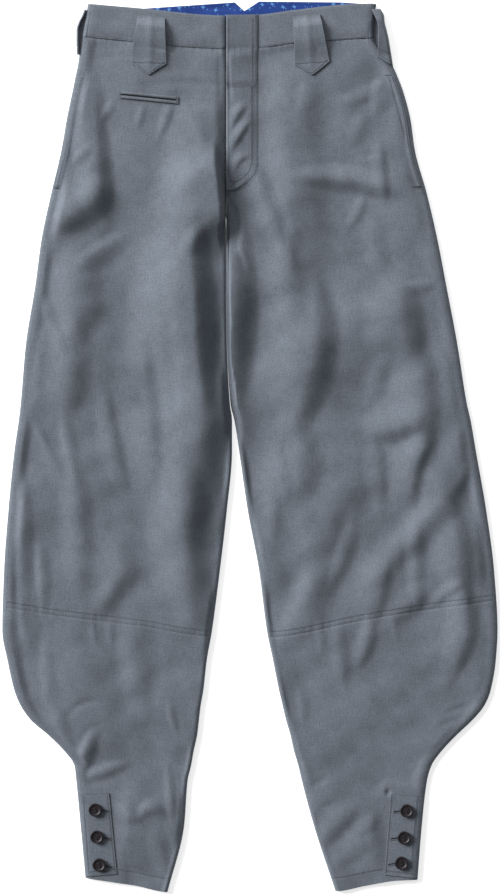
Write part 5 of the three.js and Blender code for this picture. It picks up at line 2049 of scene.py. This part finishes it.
class Sewing:
    """Every seam that shows as thread."""

    def make(
        self,
        tailor: Tailor,
        panels: Panels,
        fly: Fly,
        loops: Sequence[FrontLoop],
        plackets: Sequence[AnklePlacket],
    ) -> None:
        """Sews the garment.

        Args:
            tailor: What it works with.
            panels: The panels.
            fly: The fly.
            loops: The front belt loops.
            plackets: The ankle plackets.
        """
        seams = [self.fly_seams(tailor, fly), self.pocket_seams(tailor, panels)]
        for leg in tailor.legs:
            face = tailor.front(leg.side)
            seam = Seam(f"knee_and_hem_stitches_{leg.side.value}")
            seams.append(seam.row(panels.knee_stitch(leg), face).row(panels.hem_stitch(leg), face))
        for loop in loops:
            seams.append(self.loop_seams(tailor, loop))
        for seam in seams:
            tailor.dress(seam.build(), tailor.finishes.thread, Slot.CLOTH)
        for placket in plackets:
            self.placket_seams(tailor, placket)

    def fly_seams(self, tailor: Tailor, fly: Fly) -> Seam:
        """The fly's rows, its bar tack and the thread ends below it."""
        seam = Seam("fly_stitches")
        face = fly.face(tailor)
        for rows in fly.rows():
            for row in rows:
                seam.row(row, face)
        seam.tack((-22.6, 304.4), (-16.0, 303.6), 1.6, face)
        for ends in (((-19.5, 303), (-21.5, 289)), ((-18, 303), (-17, 291)), ((-21, 302), (-24, 285))):
            seam.bar(ends, tailor.front(Side.LEFT), 1.3)
        return seam

    def pocket_seams(self, tailor: Tailor, panels: Panels) -> Seam:
        """Rows and tacks of the three pockets."""
        seam = Seam("pocket_stitches")
        right, left = tailor.front(Side.RIGHT), tailor.front(Side.LEFT)
        on_right, on_left = raised(right, 1.2), raised(left, 1.2)
        seam.row(panels.left_pocket_row, left).row(panels.right_pocket_row, right)
        seam.tack((155.4, 425.5), (161.6, 425.5), 1.5, left)
        seam.tack((186.2, 298.2), (196.0, 298.2), 1.5, on_left)
        seam.tack((-224.6, 296.7), (-219.4, 296.7), 1.5, on_right)
        pocket = SmallPocket()
        for x in (pocket.out_x - 0.6, pocket.in_x + 0.6):
            y = float(pocket.middle(np.array(x)))
            seam.tack((x, y - 4), (x, y + 4), 1.6, on_right)
        return seam

    def loop_seams(self, tailor: Tailor, loop: FrontLoop) -> Seam:
        """The rows of one belt loop."""
        seam = Seam(f"belt_loop_stitches_{loop.side.value}")
        for rows in loop.rows():
            for row in rows:
                places = np.array(row)
                reach = np.linspace(0, 1, 14)
                u, v = (np.interp(reach, np.linspace(0, 1, len(row)), places[:, k]) for k in (0, 1))
                points = np.stack([*loop.place(u, v), loop.height(tailor, u, v) + seam.lift], -1)
                for a, b in zip(points[:-1], points[1:]):
                    seam.between(a, b, 0.8)
        return seam

    def placket_seams(self, tailor: Tailor, placket: AnklePlacket) -> None:
        """The rows and buttonholes of one ankle placket."""
        face = placket.face(tailor)
        name = placket.side.value
        rows = Seam(f"ankle_placket_stitches_{name}")
        rows.row(placket.side_row, face).row(placket.bottom(), face).row(placket.inner_row(), face)
        tailor.dress(rows.build(), tailor.finishes.thread, Slot.CLOTH)
        holes = Seam(f"buttonhole_stitches_{name}", radius=0.3)
        for button, end in zip(placket.buttons, placket.hole_ends):
            holes.purl(button, end, 1.9, face)
        tailor.dress(holes.build(), tailor.finishes.thread, Slot.CLOTH)


# ---- the studio


@dataclass
class Studio:
    """A plain white table, one broad light from the upper left, a pale sky and the camera."""

    sun_strength: float = 5.2
    sun_angle: float = 30.0
    sun_azimuth: float = 150.0  # where the light comes from, from +X towards +Y
    sun_elevation: float = 25.0
    sky: float = 0.17
    lamp_power: float = 9.0
    lamp_size: float = 1.2
    lamp_at: tuple[float, float, float] = (-0.35, 1.55, 0.9)
    table: float = 6.0  # metres
    table_low: float = -0.0002
    framed: float = 1.028  # height of the picture at the table
    middle: Place = (0.0006, -0.00115)
    above: float = 3.007
    sensor: float = 36.0

    def make(self, finishes: Finishes) -> None:
        """Makes the floor, the lights and the sky."""
        deselect()
        bpy.ops.mesh.primitive_plane_add(size=self.table, location=(0, 0, self.table_low))
        floor = bpy.context.object
        floor.name = "floor"
        bpy.ops.object.transform_apply(location=True)
        floor.data.materials.append(finishes.floor)
        sun = bpy.data.lights.new("softbox", "SUN")
        sun.energy, sun.angle = self.sun_strength, math.radians(self.sun_angle)
        lamp = link("softbox", sun)
        azimuth, elevation = math.radians(self.sun_azimuth), math.radians(self.sun_elevation)
        lamp.rotation_euler = (0, math.pi / 2 - elevation, azimuth)
        broad = bpy.data.lights.new("top_lamp", "AREA")
        broad.energy, broad.size = self.lamp_power, self.lamp_size
        over = link("top_lamp", broad)
        over.location = self.lamp_at
        over.rotation_euler = (-math.atan2(self.lamp_at[1], self.lamp_at[2]), 0, 0)
        world = bpy.data.worlds.new("sky")
        world.use_nodes = True
        background = world.node_tree.nodes["Background"]
        background.inputs["Color"].default_value = (1, 1, 1, 1)
        background.inputs["Strength"].default_value = self.sky
        bpy.context.scene.world = world
        bpy.context.scene.view_settings.view_transform = "Standard"

    def camera(self) -> None:
        """Looks straight down on the object."""
        data = bpy.data.cameras.new("camera")
        data.sensor_width = self.sensor
        data.lens = self.sensor * self.above / self.framed
        camera = link("camera", data)
        camera.location = (*self.middle, self.above)
        bpy.context.scene.camera = camera


# ---- putting it together


FRONT_LOOPS = (
    FrontLoop(Side.RIGHT, (-97, 491), (-128, 494), (-95, 438), (-136, 440), (-116, 425)),
    FrontLoop(Side.LEFT, (50, 492), (81, 495), (52, 437), (92, 441), (72, 425)),
)
SIDE_LOOPS = (
    SideLoop(
        Side.RIGHT,
        (
            (501, -187.2, -189.8, 6.5), (494, -190, -192.6, 7), (486, -194, -196.6, 7.4),
            (478, -196.2, -198.8, 7.5), (466, -196.3, -198.9, 7.5), (450, -195.9, -198.5, 7),
        ),
        450, 450,
    ),
    SideLoop(
        Side.LEFT,
        (
            (501, 140, 151, 9.8), (494, 143.2, 154.6, 11.5), (486, 146.6, 155.4, 13.3),
            (478, 147.9, 157.5, 13.6), (467, 147.9, 160, 13.4), (455, 147, 162, 11.5),
            (447, 146.6, 163.3, 9.4), (436, 146.6, 165, 9.4),
        ),
        447, 436,
    ),
)
PLACKETS = (
    AnklePlacket(
        Side.RIGHT, (-196, -400), (-161, -398), (-187, -494), (-152, -491),
        ((-190.3, -401.4), (-184, -490.6)),
        ((-177, -417), (-175, -448), (-172.5, -480)),
        ((-160.9, -419.4), (-159.3, -451), (-157, -483.8)),
    ),
    AnklePlacket(
        Side.LEFT, (201, -402), (162, -399), (192, -496), (155, -492),
        ((193.5, -402), (186, -484)),
        ((180, -418), (177, -449), (174, -478)),
        ((166.4, -419.8), (162.6, -450.8), (160.2, -480.2)),
    ),
)


def main() -> None:
    """Builds the sub-assemblies in order."""
    logging.basicConfig(level=logging.INFO, format="%(name)s: %(message)s")
    deselect()
    legs = (
        Leg(Side.RIGHT, 1, RIGHT_FOLDS, centre_gap=0.3),
        Leg(Side.LEFT, -1, LEFT_FOLDS),
    )
    tailor = Tailor(legs, Lie(), Finishes())
    studio = Studio()
    studio.make(tailor.finishes)
    studio.camera()
    pockets = SidePockets()
    on_fronts = {leg.side: pockets.make(tailor, leg.side) for leg in legs}
    on_fronts[Side.RIGHT] += SmallPocket().make(tailor)
    panels, band, fly = Panels(), Waistband(), Fly()
    panels.make(tailor, on_fronts)
    band.make_back(tailor, panels)
    band.make_lining(tailor)
    band.make_fronts(tailor)
    fly.make(tailor)
    for loop in (*FRONT_LOOPS, *SIDE_LOOPS):
        loop.make(tailor)
    for placket in PLACKETS:
        placket.make(tailor)
    Button().make(tailor, PLACKETS)
    Sewing().make(tailor, panels, fly, FRONT_LOOPS, PLACKETS)


if __name__ == "__main__":
    main()
